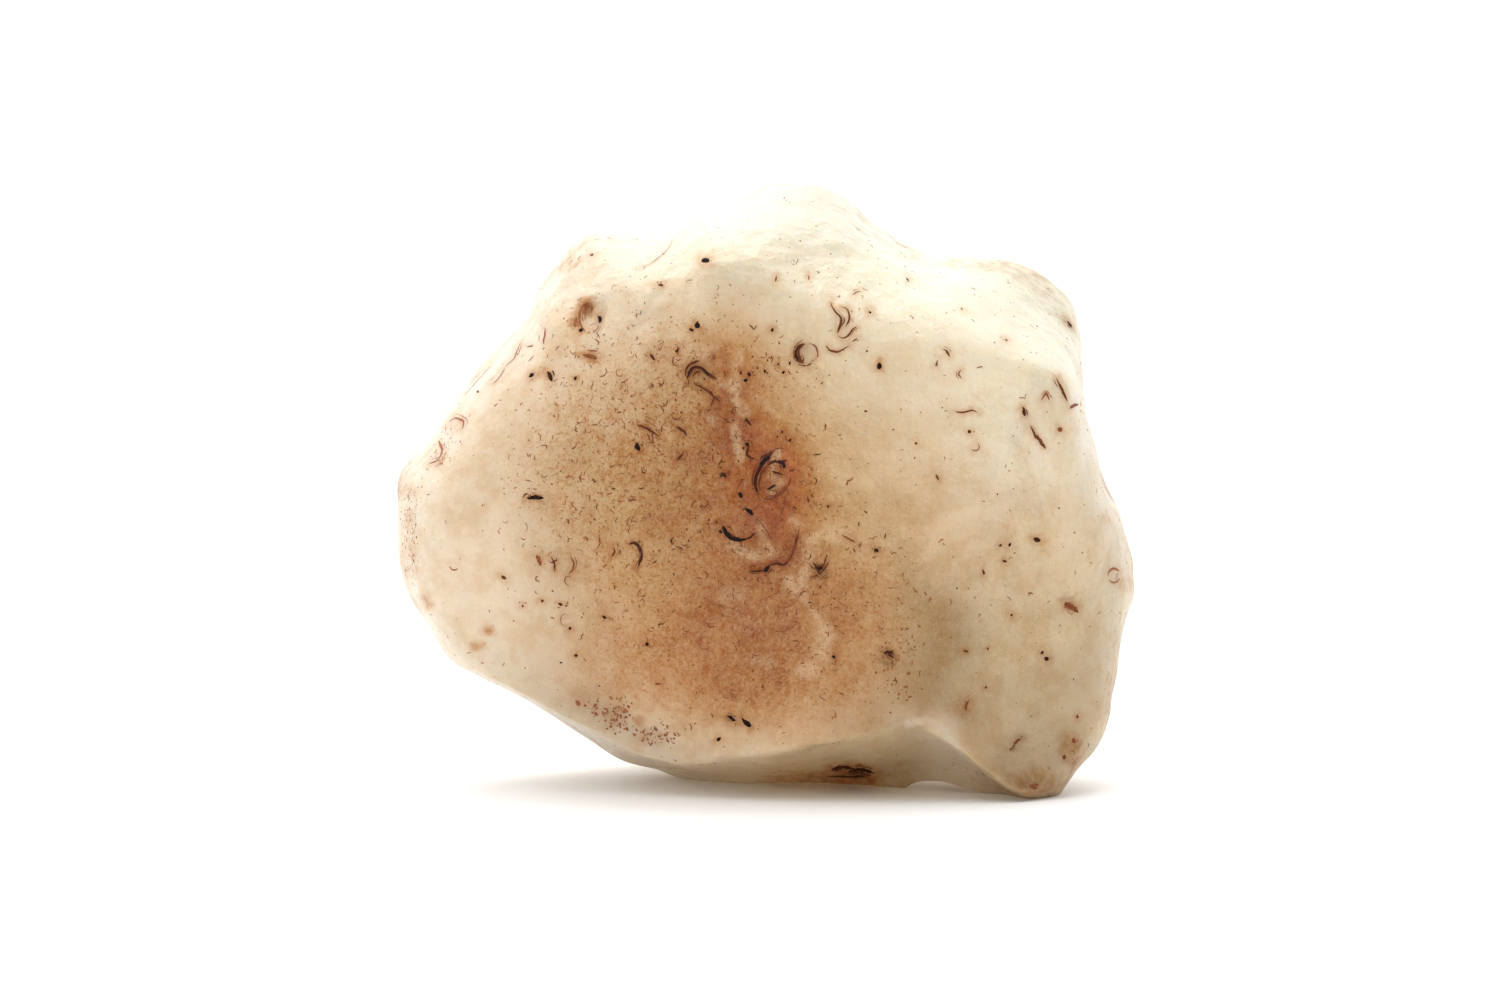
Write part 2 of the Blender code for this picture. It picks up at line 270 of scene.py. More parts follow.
def vertex_normals(points, faces):
    """Each vertex's direction out of the surface: the sum of the crossed diagonals of its faces."""
    corners = points[faces]
    across = np.cross(corners[:, 2] - corners[:, 0], corners[:, 3] - corners[:, 1])
    normals = np.zeros_like(points)
    for k in range(4):
        np.add.at(normals, faces[:, k], across)
    return normals / np.maximum(np.linalg.norm(normals, axis=1, keepdims=True), 1e-12)


def stone_surface(cells):
    """The whole skin: a face sheet and a back sheet on square grids that share the rim's points.

    Gives the points, each point's share of the way to the rim, the faces and the two grids.
    """
    side = np.linspace(-1, 1, cells + 1)
    b, a = np.meshgrid(side, side, indexing="ij")
    angle, ring = disc(a, b)
    rim_y = rim_lean(angle)
    x, z, depth, share = sheet(angle, ring, BROW, FACE_FACETS, FACE_HOLLOWS, True)
    face = np.stack([x, rim_y * share**3 - depth, z, share], axis=-1).reshape(-1, 4)
    x, z, depth, share = sheet(angle, ring, SHOULDER, BACK_FACETS, BACK_HOLLOWS, False)
    back = np.stack([x, rim_y * share**3 + depth, z, share], axis=-1).reshape(-1, 4)

    index = np.arange((cells + 1) ** 2).reshape(cells + 1, cells + 1)
    on_rim = np.maximum(np.abs(a), np.abs(b)) > 1 - 0.5 / cells
    back_index = np.empty_like(index)
    back_index[on_rim] = index[on_rim]
    back_index[~on_rim] = index.size + np.arange((~on_rim).sum())
    points = np.vstack([face, back[~on_rim.ravel()]])

    def quads(grid, flip):
        corners = [grid[:-1, :-1], grid[:-1, 1:], grid[1:, 1:], grid[1:, :-1]]
        loop = np.stack(corners[::-1] if flip else corners, axis=-1)
        return loop.reshape(-1, 4)

    faces = np.vstack([quads(index, False), quads(back_index, True)])
    return points[:, :3], points[:, 3], faces, (index, back_index)


# How softly scoops meet, and their usual depth, which is taken off so that the skin stays put.
SCOOP_SOFTNESS = 0.10
SCOOP_MIDDLE = 0.35


def worn(points, faces):
    """Moves the skin along its own direction by scoops of two sizes and two octaves of noise."""
    broad = worn_cells(points, 3.6, SCOOP_SOFTNESS, 11) - SCOOP_MIDDLE
    small = worn_cells(points, 1.7, SCOOP_SOFTNESS, 12) - SCOOP_MIDDLE
    patchy = 0.5 + layered(points, (0.5, 9.0, 13))
    shift = 0.26 * broad + 0.12 * small * patchy + layered(points, (0.10, 4.5, 14), (0.02, 0.9, 15))
    moved = points + vertex_normals(points, faces) * shift[:, None]
    moved[:, 2] = np.maximum(moved[:, 2], 0)
    return moved


def add_values(item, name, values):
    """Gives each point of a piece a value, under a name that its material asks for."""
    item.data.attributes.new(name, "FLOAT", "POINT").data.foreach_set("value", values)


def put_mesh(name, points, faces, smooth=True):
    """A new object at the origin from points in millimetres and faces of three or four corners."""
    mesh = bpy.data.meshes.new(name)
    mesh.from_pydata((points * MM).tolist(), [], faces)
    mesh.update()
    if smooth:
        mesh.shade_smooth()
    item = bpy.data.objects.new(name, mesh)
    bpy.context.scene.collection.objects.link(item)
    return item


# A drawing of the face is made from this far away. It is true to size at this distance.
DRAWN_FROM = 350
DRAWN_TRUE = 338.3
# It looks down on the stone by this much for each mm of depth, and its middle height is moved.
DRAWN_TILT = 0.087
MIDDLE = 16.7
DRAWN_MIDDLE = 17.8


def drawn(points):
    """Where points come on the drawing of the face, as x and z in millimetres at its front's own size.

    What lies further back comes nearer to the middle and a little higher.
    """
    size = DRAWN_TRUE / (DRAWN_FROM + points[..., 1])
    x = points[..., 0] * size
    z = DRAWN_MIDDLE + (points[..., 2] - MIDDLE + DRAWN_TILT * points[..., 1]) * size
    return np.stack([x, z], axis=-1)


# Places are sought in this many groups, to save memory, and each in this many of Newton's steps.
SEEK_GROUPS = 40
NEWTON_STEPS = 4


class Skin:
    """The finished surface: its two grids of points and normals, which scars are laid on."""

    def __init__(self, cells):
        self.cells = cells
        self.start, self.share, self.faces, self.grids = stone_surface(cells)
        self.points = worn(self.start, self.faces)
        self.normals = vertex_normals(self.points, self.faces)

    def sample(self, sheet_number, place):
        """Points and normals at fractional rows and columns, mixed from the four round each."""
        place = np.clip(place, 0, self.cells - 1e-6)
        low = place.astype(int)
        part = place - low
        grid = self.grids[sheet_number]
        found = []
        for values in (self.points, self.normals):
            total = 0
            for corner in np.ndindex(2, 2):
                weight = np.prod(np.where(np.array(corner) == 1, part, 1 - part), axis=-1)
                index = grid[low[..., 0] + corner[0], low[..., 1] + corner[1]]
                total = total + weight[..., None] * values[index]
            found.append(total)
        return found[0], found[1]

    def slopes(self, sheet_number, place):
        """How the point moves for each row and for each column."""
        halves = 0.5 * np.eye(2)
        after = [self.sample(sheet_number, place + half)[0] for half in halves]
        before = [self.sample(sheet_number, place - half)[0] for half in halves]
        return np.stack(after, axis=-1) - np.stack(before, axis=-1)

    def seek(self, x, z):
        """The rows and columns of places on the drawing: Newton's steps from the nearest grid point."""
        grid = self.grids[0]
        flat = drawn(self.points[grid]).reshape(-1, 2)
        target = np.stack([x, z], axis=-1)
        lengths = (flat**2).sum(1)
        groups = np.array_split(target.reshape(-1, 2), SEEK_GROUPS)
        nearest = np.concatenate([(lengths - 2 * group @ flat.T).argmin(1) for group in groups])
        place = np.stack(np.unravel_index(nearest, grid.shape), axis=-1).astype(float).reshape(target.shape)
        for _ in range(NEWTON_STEPS):
            miss = target - drawn(self.sample(0, place)[0])
            halves = 0.5 * np.eye(2)
            after = [drawn(self.sample(0, place + half)[0]) for half in halves]
            before = [drawn(self.sample(0, place - half)[0]) for half in halves]
            slope = np.stack(after, axis=-1) - np.stack(before, axis=-1)
            place = place + np.clip(np.einsum("...ij,...j->...i", np.linalg.pinv(slope), miss), -2, 2)
        return place


# ---- The scars: dark slivers in the cracks and pits of the skin, for their dirt and painted shade. ----


def ring(x, z, radius, start, end, squash=1.0):
    """Points round an ellipse from one angle to another, in degrees: x, z, x, z and so on."""
    turn = np.radians(np.linspace(start, end, 9))
    return np.column_stack([x + radius * np.cos(turn), z + radius * squash * np.sin(turn)]).ravel()


# The large scars of the face, as they come on the drawing: the half width, the tone from 0 (brown) to
# 1 (black), how many thin strands run beside it, and then x and z of each point of its path.
NAMED = [
    # The spiral hollow at the middle.
    (0.075, 0.85, 5, 0.5, 20.7, 0.15, 20.4, -0.35, 19.75, -0.64, 19.15, -0.68, 18.6, -0.44, 18.1),
    (0.045, 0.6, 3, -0.45, 18.1, 0.05, 17.8, 0.6, 18.0, 1.1, 18.4, 1.35, 18.85, 1.4, 19.2),
    (0.12, 0.95, 2, -0.45, 19.65, -0.1, 20.1, 0.2, 20.35),
    (0.035, 0.65, 3, 0.05, 19.85, -0.35, 19.25, -0.45, 18.7, -0.35, 18.3),
    (0.06, 0.8, 2, 0.05, 19.85, 0.45, 20.05, 0.8, 20.0, 1.2, 20.15),
    (0.12, 0.95, 2, 0.65, 20.1, 0.95, 19.95, 1.05, 19.65),
    (0.03, 0.55, 2, 0.05, 20.3, 0.35, 20.7, 0.8, 20.85, 1.05, 20.75),
    (0.045, 0.75, 1, 0.3, 19.5, 0.6, 19.4, 1.0, 19.25), (0.06, 0.9, 0, 0.0, 18.4, 0.55, 18.7),
    (0.03, 0.55, 2, 0.05, 18.2, 0.25, 18.4, 0.6, 18.3, 0.55, 18.05, 0.15, 18.0),
    (0.045, 0.6, 0, 1.3, 19.5, 1.6, 19.55),
    (0.05, 0.8, 1, -1.3, 21.1, -1.05, 21.05, -1.05, 20.8, -1.2, 20.45, -0.9, 20.25, -0.5, 20.15),
    (0.09, 0.9, 0, -1.25, 21.05, -1.0, 21.0), (0.05, 0.8, 1, -1.25, 22.6, -1.1, 22.4, -0.88, 22.1),
    (0.045, 0.8, 0, -1.3, 22.35, -1.1, 22.55),
    # The curled cluster above it, to the left.
    (0.055, 0.7, 3, -4.65, 24.9, -4.7, 25.35, -4.45, 25.7, -4.0, 25.9, -3.8, 25.9),
    (0.065, 0.85, 4, -4.6, 24.75, -4.5, 25.25, -4.2, 25.55, -3.8, 25.5, -3.45, 25.2, -2.95, 24.85),
    (0.035, 0.7, 3, -4.3, 24.95, -4.05, 25.25, -3.7, 25.35), (0.06, 0.5, 2, -3.4, 25.2, -2.85, 24.8),
    (0.04, 0.7, 3, -4.3, 24.85, -4.2, 24.55, -3.75, 24.35, -3.35, 24.1, -3.05, 23.8, -3.15, 23.4),
    (0.04, 0.75, 2, -3.3, 24.2, -3.05, 23.8, -2.65, 23.5),
    (0.035, 0.55, 2, -3.15, 26.25, -3.0, 26.1, -3.1, 25.9), (0.035, 0.5, 2, -2.5, 25.3, -2.35, 25.0),
    (0.04, 0.55, 1, -2.5, 22.6, -2.3, 22.35, -2.05, 22.3),
    # Black grit to the right of the cluster.
    (0.07, 0.9, 0, -1.56, 25.2, -1.46, 25.18), (0.085, 1.0, 0, -1.07, 25.08, -0.97, 25.12),
    (0.07, 1.0, 0, -1.18, 24.85, -1.26, 24.66), (0.07, 0.95, 0, -0.15, 25.28, -0.06, 25.3),
    (0.04, 0.8, 0, -0.57, 25.55, -0.5, 25.4), (0.06, 0.85, 0, 0.63, 25.72, 0.72, 25.69),
    (0.065, 1.0, 0, 1.3, 25.77, 1.39, 25.76), (0.07, 0.95, 0, 0.92, 25.27, 1.02, 25.2),
    (0.07, 0.45, 0, -0.87, 26.15, -0.78, 26.1), (0.05, 0.6, 0, 0.0, 25.92, 0.09, 25.92),
    (0.08, 1.0, 0, 0.28, 27.7, 0.38, 27.67), (0.06, 0.9, 0, 0.85, 21.77, 0.94, 21.75),
    (0.055, 0.9, 0, 0.58, 21.5, 0.66, 21.5), (0.075, 0.95, 0, 1.33, 21.3, 1.41, 21.26),
    (0.075, 0.9, 0, -5.22, 26.5, -5.1, 26.44),
    # The black arc, its dashes, and the jagged edge of the shallow hollow.
    (0.1, 1.0, 0, -2.52, 16.35, -2.43, 15.95, -2.1, 15.62, -1.6, 15.46, -1.1, 15.55),
    (0.04, 0.85, 0, -1.2, 15.52, -0.9, 15.65, -0.7, 15.9), (0.075, 0.85, 1, -2.64, 16.1, -2.7, 15.85),
    (0.085, 1.0, 0, -1.62, 18.25, -1.43, 17.94), (0.085, 1.0, 0, -1.28, 17.35, -1.02, 17.17, -0.76, 16.92),
    (0.022, 0.6, 0, -0.8, 16.95, -0.35, 16.5, 0.05, 15.95, 0.3, 15.45),
    (0.075, 0.85, 1, -2.75, 19.12, -2.5, 19.3, -2.32, 19.1),
    (0.05, 0.7, 3, 1.92, 16.2, 1.78, 15.6, 1.63, 15.1, 1.44, 14.5, 1.2, 14.15),
    (0.1, 0.45, 2, 1.75, 15.3, 1.6, 14.9, 1.45, 14.5),
    (0.055, 0.75, 3, 1.3, 14.25, 0.96, 14.0, 0.62, 14.12, 0.14, 14.0),
    (0.09, 0.95, 1, 0.2, 14.05, 0.0, 13.75, -0.2, 13.66),
    (0.05, 0.75, 2, -0.1, 13.68, -0.5, 13.66, -1.05, 13.64),
    (0.045, 0.8, 2, 2.6, 14.3, 2.95, 13.85, 3.05, 13.5),
    (0.035, 0.75, 2, 3.52, 14.7, 3.37, 14.15, 3.13, 13.8),
    (0.04, 0.7, 3, 3.62, 14.25, 3.42, 13.85, 3.04, 13.45, 2.46, 13.25),
    (0.11, 0.95, 2, 2.8, 13.9, 3.05, 13.8, 3.3, 13.85),
    (0.028, 0.3, 0, 0.52, 10.2, 0.9, 10.1, 1.5, 10.35, 1.8, 10.75),
    (0.03, 0.25, 1, 0.52, 11.6, 1.0, 11.5, 1.5, 11.7, 1.75, 11.9),
    (0.03, 0.25, 1, *ring(-3.59, 9.45, 0.37, 60, 340)), (0.08, 1.0, 0, 3.85, 8.6, 3.97, 8.7),
    (0.035, 0.75, 0, 2.38, 18.05, 2.43, 17.65), (0.06, 0.95, 0, 3.52, 17.44, 3.62, 17.42),
    (0.035, 0.5, 1, -3.54, 17.85, -3.35, 17.6, -3.54, 17.42, -3.92, 17.42),
    (0.06, 0.75, 0, -3.38, 16.66, -3.3, 16.62), (0.04, 0.7, 0, -2.88, 16.6, -2.95, 16.4),
    (0.05, 0.4, 2, 4.39, 15.75, 4.78, 15.53, 5.16, 15.33), (0.06, 0.4, 0, 4.98, 11.1, 5.07, 11.05),
    (0.05, 0.85, 0, 3.09, 12.76, 3.17, 12.73),
    # The open ring, and the S-shaped crack beside it.
    (0.16, 0.55, 2, *ring(2.35, 26.3, 0.58, 100, 255)), (0.08, 0.95, 0, *ring(2.32, 26.3, 0.64, 120, 240)),
    (0.045, 0.4, 1, *ring(2.35, 26.3, 0.62, -60, 80)),
    (0.045, 0.55, 1, 1.78, 25.68, 2.26, 25.58, 2.74, 25.8, 2.95, 26.0),
    (0.055, 0.65, 2, 3.7, 29.35, 3.8, 29.0, 4.0, 28.7, 4.24, 28.5, 4.36, 28.25, 4.24, 27.85, 4.1, 27.45),
    (0.045, 0.6, 1, 4.07, 27.4, 4.34, 27.2, 4.6, 27.25, 4.82, 27.45, 4.94, 27.7, 5.23, 27.9),
    (0.045, 0.6, 1, 4.3, 29.0, 4.5, 29.0, 4.7, 28.85, 4.78, 28.55, 4.78, 28.25, 4.53, 27.85),
    (0.035, 0.55, 1, 4.5, 28.45, 4.5, 28.15, 4.3, 27.85),
    (0.035, 0.5, 1, 4.97, 29.7, 5.2, 29.88, 5.45, 29.9),
    (0.045, 0.55, 2, 3.42, 26.8, 3.62, 26.5, 4.1, 26.36, 4.58, 26.65, 4.8, 26.8),
    (0.035, 0.5, 0, 4.97, 27.0, 5.26, 27.2), (0.07, 1.0, 0, 5.93, 28.72, 6.03, 28.68),
    (0.04, 0.5, 0, 0.57, 30.8, 0.52, 30.46), (0.03, 0.5, 0, 2.43, 30.85, 2.46, 30.56),
    # The oval bubble at the upper left, and what lies round it.
    (0.07, 0.35, 3, *ring(-10.2, 28.4, 0.62, 110, 250, 1.45)),
    (0.045, 0.3, 3, *ring(-10.2, 28.4, 0.6, 250, 330, 1.5)),
    (0.1, 1.0, 0, -9.72, 28.5, -9.62, 28.3, -9.6, 28.1), (0.09, 1.0, 0, -10.78, 27.75, -10.68, 27.6),
    (0.1, 0.3, 1, -11.0, 28.45, -11.05, 27.85), (0.1, 0.35, 1, -12.8, 27.85, -12.85, 27.3, -12.9, 26.85),
    (0.05, 0.4, 0, -13.9, 26.7, -13.5, 26.75), (0.12, 0.45, 2, -10.6, 26.25, -10.2, 26.15, -9.8, 26.0),
    (0.09, 1.0, 0, -13.75, 24.98, -13.45, 25.14), (0.1, 0.9, 1, -12.7, 25.3, -12.53, 25.05, -12.42, 24.7),
    (0.08, 0.95, 0, -11.15, 24.9, -11.0, 24.85), (0.08, 0.6, 3, -6.3, 30.3, -5.95, 30.25),
    (0.09, 0.45, 0, -10.15, 32.05, -10.0, 32.0), (0.12, 1.0, 0, -3.75, 31.75, -3.3, 31.65),
    (0.11, 1.0, 1, -4.1, 28.1, -3.9, 27.8), (0.06, 0.85, 1, -4.5, 27.75, -4.2, 27.6),
    (0.06, 0.8, 1, -6.75, 26.3, -6.45, 25.9), (0.07, 0.7, 1, -5.3, 26.5, -5.15, 26.4),
    (0.025, 0.3, 0, *ring(-8.5, 25.2, 0.22, 20, 330)),
    (0.05, 0.7, 2, -7.55, 22.2, -6.95, 21.98, -6.15, 21.45),
    (0.055, 0.75, 2, -5.35, 22.1, -4.75, 21.8, -4.65, 21.5),
    (0.035, 0.45, 1, *ring(-5.2, 22.75, 0.26, 190, 350)),
    (0.1, 1.0, 0, -7.6, 21.1, -7.45, 20.85, -7.35, 20.65),
    (0.06, 0.7, 1, -4.8, 20.6, -4.95, 20.35, -5.2, 20.1),
    # Arcs and dashes at the left.
    (0.085, 1.0, 0, -13.9, 17.88, -13.4, 17.98, -12.9, 17.9),
    (0.085, 0.8, 2, -8.05, 15.2, -7.65, 15.35, -7.3, 14.95, -7.25, 14.4, -7.5, 13.85),
    (0.05, 0.55, 1, -8.88, 15.05, -8.8, 14.8, -9.0, 14.5), (0.04, 0.4, 0, -8.5, 14.95, -8.5, 14.6),
    (0.11, 0.4, 2, -13.35, 14.6, -13.2, 14.3, -13.1, 13.95),
    (0.045, 0.65, 1, -12.5, 14.5, -12.3, 14.1, -12.32, 13.6),
    (0.045, 0.5, 1, -11.4, 14.6, -11.16, 14.1, -11.25, 13.7, -11.5, 13.5),
    (0.03, 0.3, 0, *ring(-11.5, 13.1, 0.22, 20, 290, 1.3)),
    (0.035, 0.35, 1, -9.75, 15.8, -9.65, 15.3, -9.85, 14.9), (0.05, 0.35, 2, -10.5, 15.7, -10.35, 15.4),
    (0.09, 0.6, 0, -15.4, 13.38, -15.1, 13.2), (0.07, 0.7, 1, -12.1, 11.8, -11.85, 11.65),
    (0.08, 0.6, 0, -13.1, 11.95, -12.95, 11.9), (0.06, 0.7, 0, -14.2, 11.65, -14.1, 11.6),
    (0.018, 0.35, 0, *ring(-11.7, 10.8, 0.27, 30, 300, 1.4)), (0.07, 0.9, 0, -11.5, 10.35, -11.35, 10.28),
    (0.065, 0.9, 0, -9.55, 11.05, -9.3, 10.9), (0.09, 0.85, 1, -11.15, 8.75, -11.0, 8.7),
    (0.09, 0.95, 0, -7.0, 9.45, -6.9, 9.35), (0.1, 1.0, 0, -2.3, 5.2, -2.0, 5.05, -1.8, 4.9),
    (0.11, 1.0, 0, -1.45, 5.1, -1.2, 4.8, -0.9, 4.55), (0.07, 0.95, 0, -2.9, 3.75, -2.65, 3.92),
    (0.11, 0.3, 2, -11.1, 6.1, -10.85, 5.8), (0.05, 0.4, 0, -6.5, 7.1, -6.1, 7.05),
    (0.03, 0.25, 0, *ring(-1.9, 6.5, 0.22, 0, 350)),
    # Marks worn into the rim at the left and along the top.
    (0.07, 0.35, 1, -15.8, 25.75, -16.7, 24.75, -17.5, 23.8),
    (0.055, 0.35, 1, -14.2, 27.0, -14.6, 26.0, -15.1, 25.55),
    (0.05, 0.3, 1, -15.1, 25.45, -15.45, 24.95, -15.85, 24.5),
    (0.07, 0.5, 0, -16.75, 24.15, -16.65, 24.05),
    (0.06, 0.3, 2, -18.45, 22.3, -18.0, 22.6, -17.5, 22.4, -17.6, 21.9),
    (0.09, 0.3, 3, -19.0, 21.3, -18.75, 20.7, -19.0, 20.1, -19.6, 19.9),
    (0.03, 0.2, 1, -5.2, 33.3, -5.7, 32.3, -6.7, 31.5, -7.4, 31.25),
    (0.13, 0.8, 1, 17.4, 28.2, 17.7, 27.85),
    # The right-hand side.
    (0.1, 1.0, 0, 6.5, 25.8, 6.55, 25.4), (0.05, 0.65, 3, 8.05, 30.75, 8.25, 30.45),
    (0.06, 0.7, 0, 11.25, 28.95, 11.35, 28.85), (0.08, 0.6, 0, 13.8, 27.15, 13.95, 27.05),
    (0.05, 0.55, 4, 10.2, 26.55, 10.4, 26.5, 10.6, 26.1), (0.05, 0.55, 2, 9.9, 25.95, 9.8, 25.55),
    (0.04, 0.4, 2, 11.25, 25.4, 11.1, 25.1, 11.3, 24.85),
    (0.045, 0.55, 0, 10.9, 22.94, 11.37, 22.88, 11.95, 23.04, 12.25, 22.88),
    (0.08, 0.7, 0, 11.65, 21.82, 11.85, 21.74), (0.03, 0.35, 0, *ring(12.1, 20.9, 0.24, -150, 60)),
    (0.07, 0.55, 1, 8.6, 21.15, 8.7, 21.05), (0.055, 0.55, 1, 9.8, 19.3, 10.0, 18.95),
    (0.09, 0.6, 1, 16.76, 24.93, 17.1, 24.24, 17.46, 23.5),
    (0.09, 0.5, 0, 17.57, 23.14, 17.8, 23.3, 18.1, 23.37),
    (0.06, 0.35, 2, 15.9, 23.6, 16.2, 24.06, 16.4, 23.6), (0.09, 0.75, 2, 14.85, 23.25, 14.96, 22.67),
    (0.09, 0.6, 1, 15.25, 22.2, 15.66, 21.45, 16.2, 20.76), (0.12, 0.45, 0, 16.85, 21.95, 17.15, 21.85),
    (0.16, 0.45, 2, 17.28, 11.77, 17.7, 11.6, 18.15, 11.22),
    (0.07, 0.25, 0, *ring(20.2, 13.45, 0.36, 30, 200)), (0.05, 0.2, 0, *ring(20.2, 13.35, 0.36, 210, 350)),
    (0.11, 0.85, 0, 15.5, 15.58, 15.9, 15.4), (0.09, 0.9, 0, 14.05, 15.22, 14.18, 15.18),
    (0.06, 0.8, 0, 13.5, 15.1, 13.65, 15.22), (0.06, 0.7, 0, 13.7, 14.3, 13.95, 14.18),
    (0.05, 0.65, 1, 12.55, 13.8, 12.62, 13.45), (0.08, 0.65, 0, 14.2, 11.15, 14.28, 11.05),
    (0.09, 0.85, 0, 15.98, 8.94, 16.08, 8.86), (0.1, 0.85, 0, 16.15, 8.6, 16.4, 8.46),
    (0.05, 0.7, 0, 11.45, 9.02, 11.75, 8.94), (0.06, 0.6, 0, 12.82, 9.15, 12.92, 9.1),
    (0.08, 0.9, 0, 6.25, 14.95, 6.5, 14.8), (0.13, 0.75, 2, 6.8, 8.9, 7.07, 8.93, 7.36, 8.58),
    (0.08, 0.4, 1, 11.77, 6.16, 11.6, 5.8, 11.62, 5.5),
    (0.075, 0.45, 1, 14.9, 4.0, 14.5, 3.65, 14.3, 3.3, 14.1, 3.24), (0.07, 0.5, 0, 12.72, 6.9, 12.8, 6.82),
    (0.12, 0.4, 1, 17.85, 3.9, 17.95, 3.6), (0.11, 0.5, 0, 17.3, 2.9, 17.4, 2.65),
    (0.12, 0.35, 2, 15.3, 1.1, 15.8, 0.95), (0.09, 0.5, 0, 18.05, 5.2, 18.15, 5.1),
    # Soil caught under the stone, where it meets the ground.
    (0.2, 0.7, 4, 3.8, 2.0, 4.5, 2.2, 5.2, 2.0), (0.22, 0.8, 4, 4.7, 1.85, 5.5, 2.05, 6.3, 1.85),
    (0.14, 0.85, 3, 3.4, 1.6, 4.6, 1.65, 5.9, 1.6),
]

# The same as path, half width, tone and strands, with each path as rows of x and z.
SCARS = [(np.reshape(row[3:], (-1, 2)), *row[:3]) for row in NAMED]
# How many cross-sections each kind of sliver has, with its two tips.
PATH_STATIONS = 14
NICK_STATIONS = 6
DOT_STATIONS = 5
# How many points a path's smooth line has, and how many times over it is smoothed.
LINE_POINTS = 60
SMOOTHINGS = 12
# How far a sliver stands out of the skin at most, and how much deeper it is sunk than it stands out.
SCAR_RISE = 0.02
# Below this height the skin counts as the stone's underside, which carries no small scars.
UNDERSIDE = 0.3


def along_path(path):
    """Close-set points on a smooth line through the path's points: straight runs, averaged in passes."""
    steps = np.concatenate([[0], np.cumsum(np.hypot(*np.diff(path, axis=0).T))])
    fine = np.linspace(0, steps[-1], LINE_POINTS)
    line = np.stack([np.interp(fine, steps, path[:, k]) for k in (0, 1)], axis=-1)
    for _ in range(SMOOTHINGS):
        line[1:-1] = 0.25 * line[:-2] + 0.5 * line[1:-1] + 0.25 * line[2:]
    return line


def strands(line, width, tone, count, rng):
    """A scar as strokes: one down the line, and thin ones beside it that cover parts of it.

    Each side stroke is the line, moved across by a set distance that grows along it.
    """
    across = np.gradient(line, axis=0)
    across = across[:, ::-1] * [1, -1] / np.maximum(np.linalg.norm(across, axis=1, keepdims=True), 1e-9)
    start = np.concatenate([[0], rng.uniform(0, 0.55, count)])
    end = np.concatenate([[1], np.minimum(start[1:] + rng.uniform(0.3, 0.8, count), 1)])
    part = start[:, None] + (end - start)[:, None] * np.linspace(0, 1, PATH_STATIONS)
    away = np.concatenate([[0], rng.normal(0, 1.0, count)]) * (width + 0.05)
    drift = np.concatenate([[0], rng.normal(0, 1.0, count)]) * (width + 0.04)
    sideways = away[:, None] + drift[:, None] * (part - 0.5)
    sideways += rng.normal(0, 0.12 * width, part.shape)
    at = part * (len(line) - 1)
    stops = np.arange(len(line))
    places = [
        np.interp(at, stops, line[:, k]) + sideways * np.interp(at, stops, across[:, k]) for k in (0, 1)
    ]
    main = width * (1.15 + 0.35 * tone**4)
    widths = np.concatenate([[main], rng.uniform(0.18, 0.45, count) * (width + 0.02)])
    tones = np.clip(np.concatenate([[tone], tone - rng.uniform(0.0, 0.35, count)]), 0, 1)
    return np.stack(places, axis=-1), widths, tones


def slivers(skin, sheet_number, paths, widths, tones, skew):
    """Thin closed slivers sunk half into the skin, each a diamond carried along a path and tapered.

    paths are rows and columns for each station of each sliver. The half width is the sliver's own
    times the sine of how far along it is, raised to a power that moves the widest place, and the
    two ends are points.
    """
    centre, normal = skin.sample(sheet_number, paths)
    along = np.gradient(centre, axis=1)
    along /= np.maximum(np.linalg.norm(along, axis=-1, keepdims=True), 1e-9)
    across = np.cross(along, normal)
    across /= np.maximum(np.linalg.norm(across, axis=-1, keepdims=True), 1e-9)
    count, stations = paths.shape[:2]
    part = np.linspace(0, 1, stations)[None, :] ** skew[:, None]
    half = widths[:, None] * np.sin(math.pi * part) ** 0.55
    rise = np.minimum(0.5 * half, SCAR_RISE)
    rings = np.stack(
        [
            centre - across * half[..., None],
            centre + normal * rise[..., None],
            centre + across * half[..., None],
            centre - normal * (rise + SCAR_RISE)[..., None],
        ],
        axis=2,
    )
    inner = stations - 2
    body = rings[:, 1:-1].reshape(count, 4 * inner, 3)
    points = np.concatenate([centre[:, :1], body, centre[:, -1:]], axis=1)
    k = np.arange(4)
    after = (k + 1) % 4
    low = 1 + 4 * np.arange(inner - 1)[:, None]
    quads = np.stack([low + k, low + 4 + k, low + 4 + after, low + after], axis=-1).reshape(-1, 4)
    last = 1 + 4 * (inner - 1)
    tips = np.vstack([
        np.stack([0 * k, 1 + k, 1 + after], axis=1),
        np.stack([0 * k + 1 + 4 * inner, last + after, last + k], axis=1),
    ])
    offset = np.arange(count)[:, None, None] * points.shape[1]
    return {
        "points": points.reshape(-1, 3),
        "quads": (quads[None] + offset).reshape(-1, 4),
        "tips": (tips[None] + offset).reshape(-1, 3),
        "tone": np.repeat(tones, points.shape[1]),
    }


def named_scars(skin, rng):
    """The large scars of the face as slivers."""
    strokes = [strands(along_path(path), *mark, rng) for path, *mark in SCARS]
    paths, widths, tones = (np.concatenate(values) for values in zip(*strokes))
    place = skin.seek(paths[..., 0], paths[..., 1])
    return slivers(skin, 0, place, widths, tones, rng.uniform(0.7, 1.5, len(widths)))


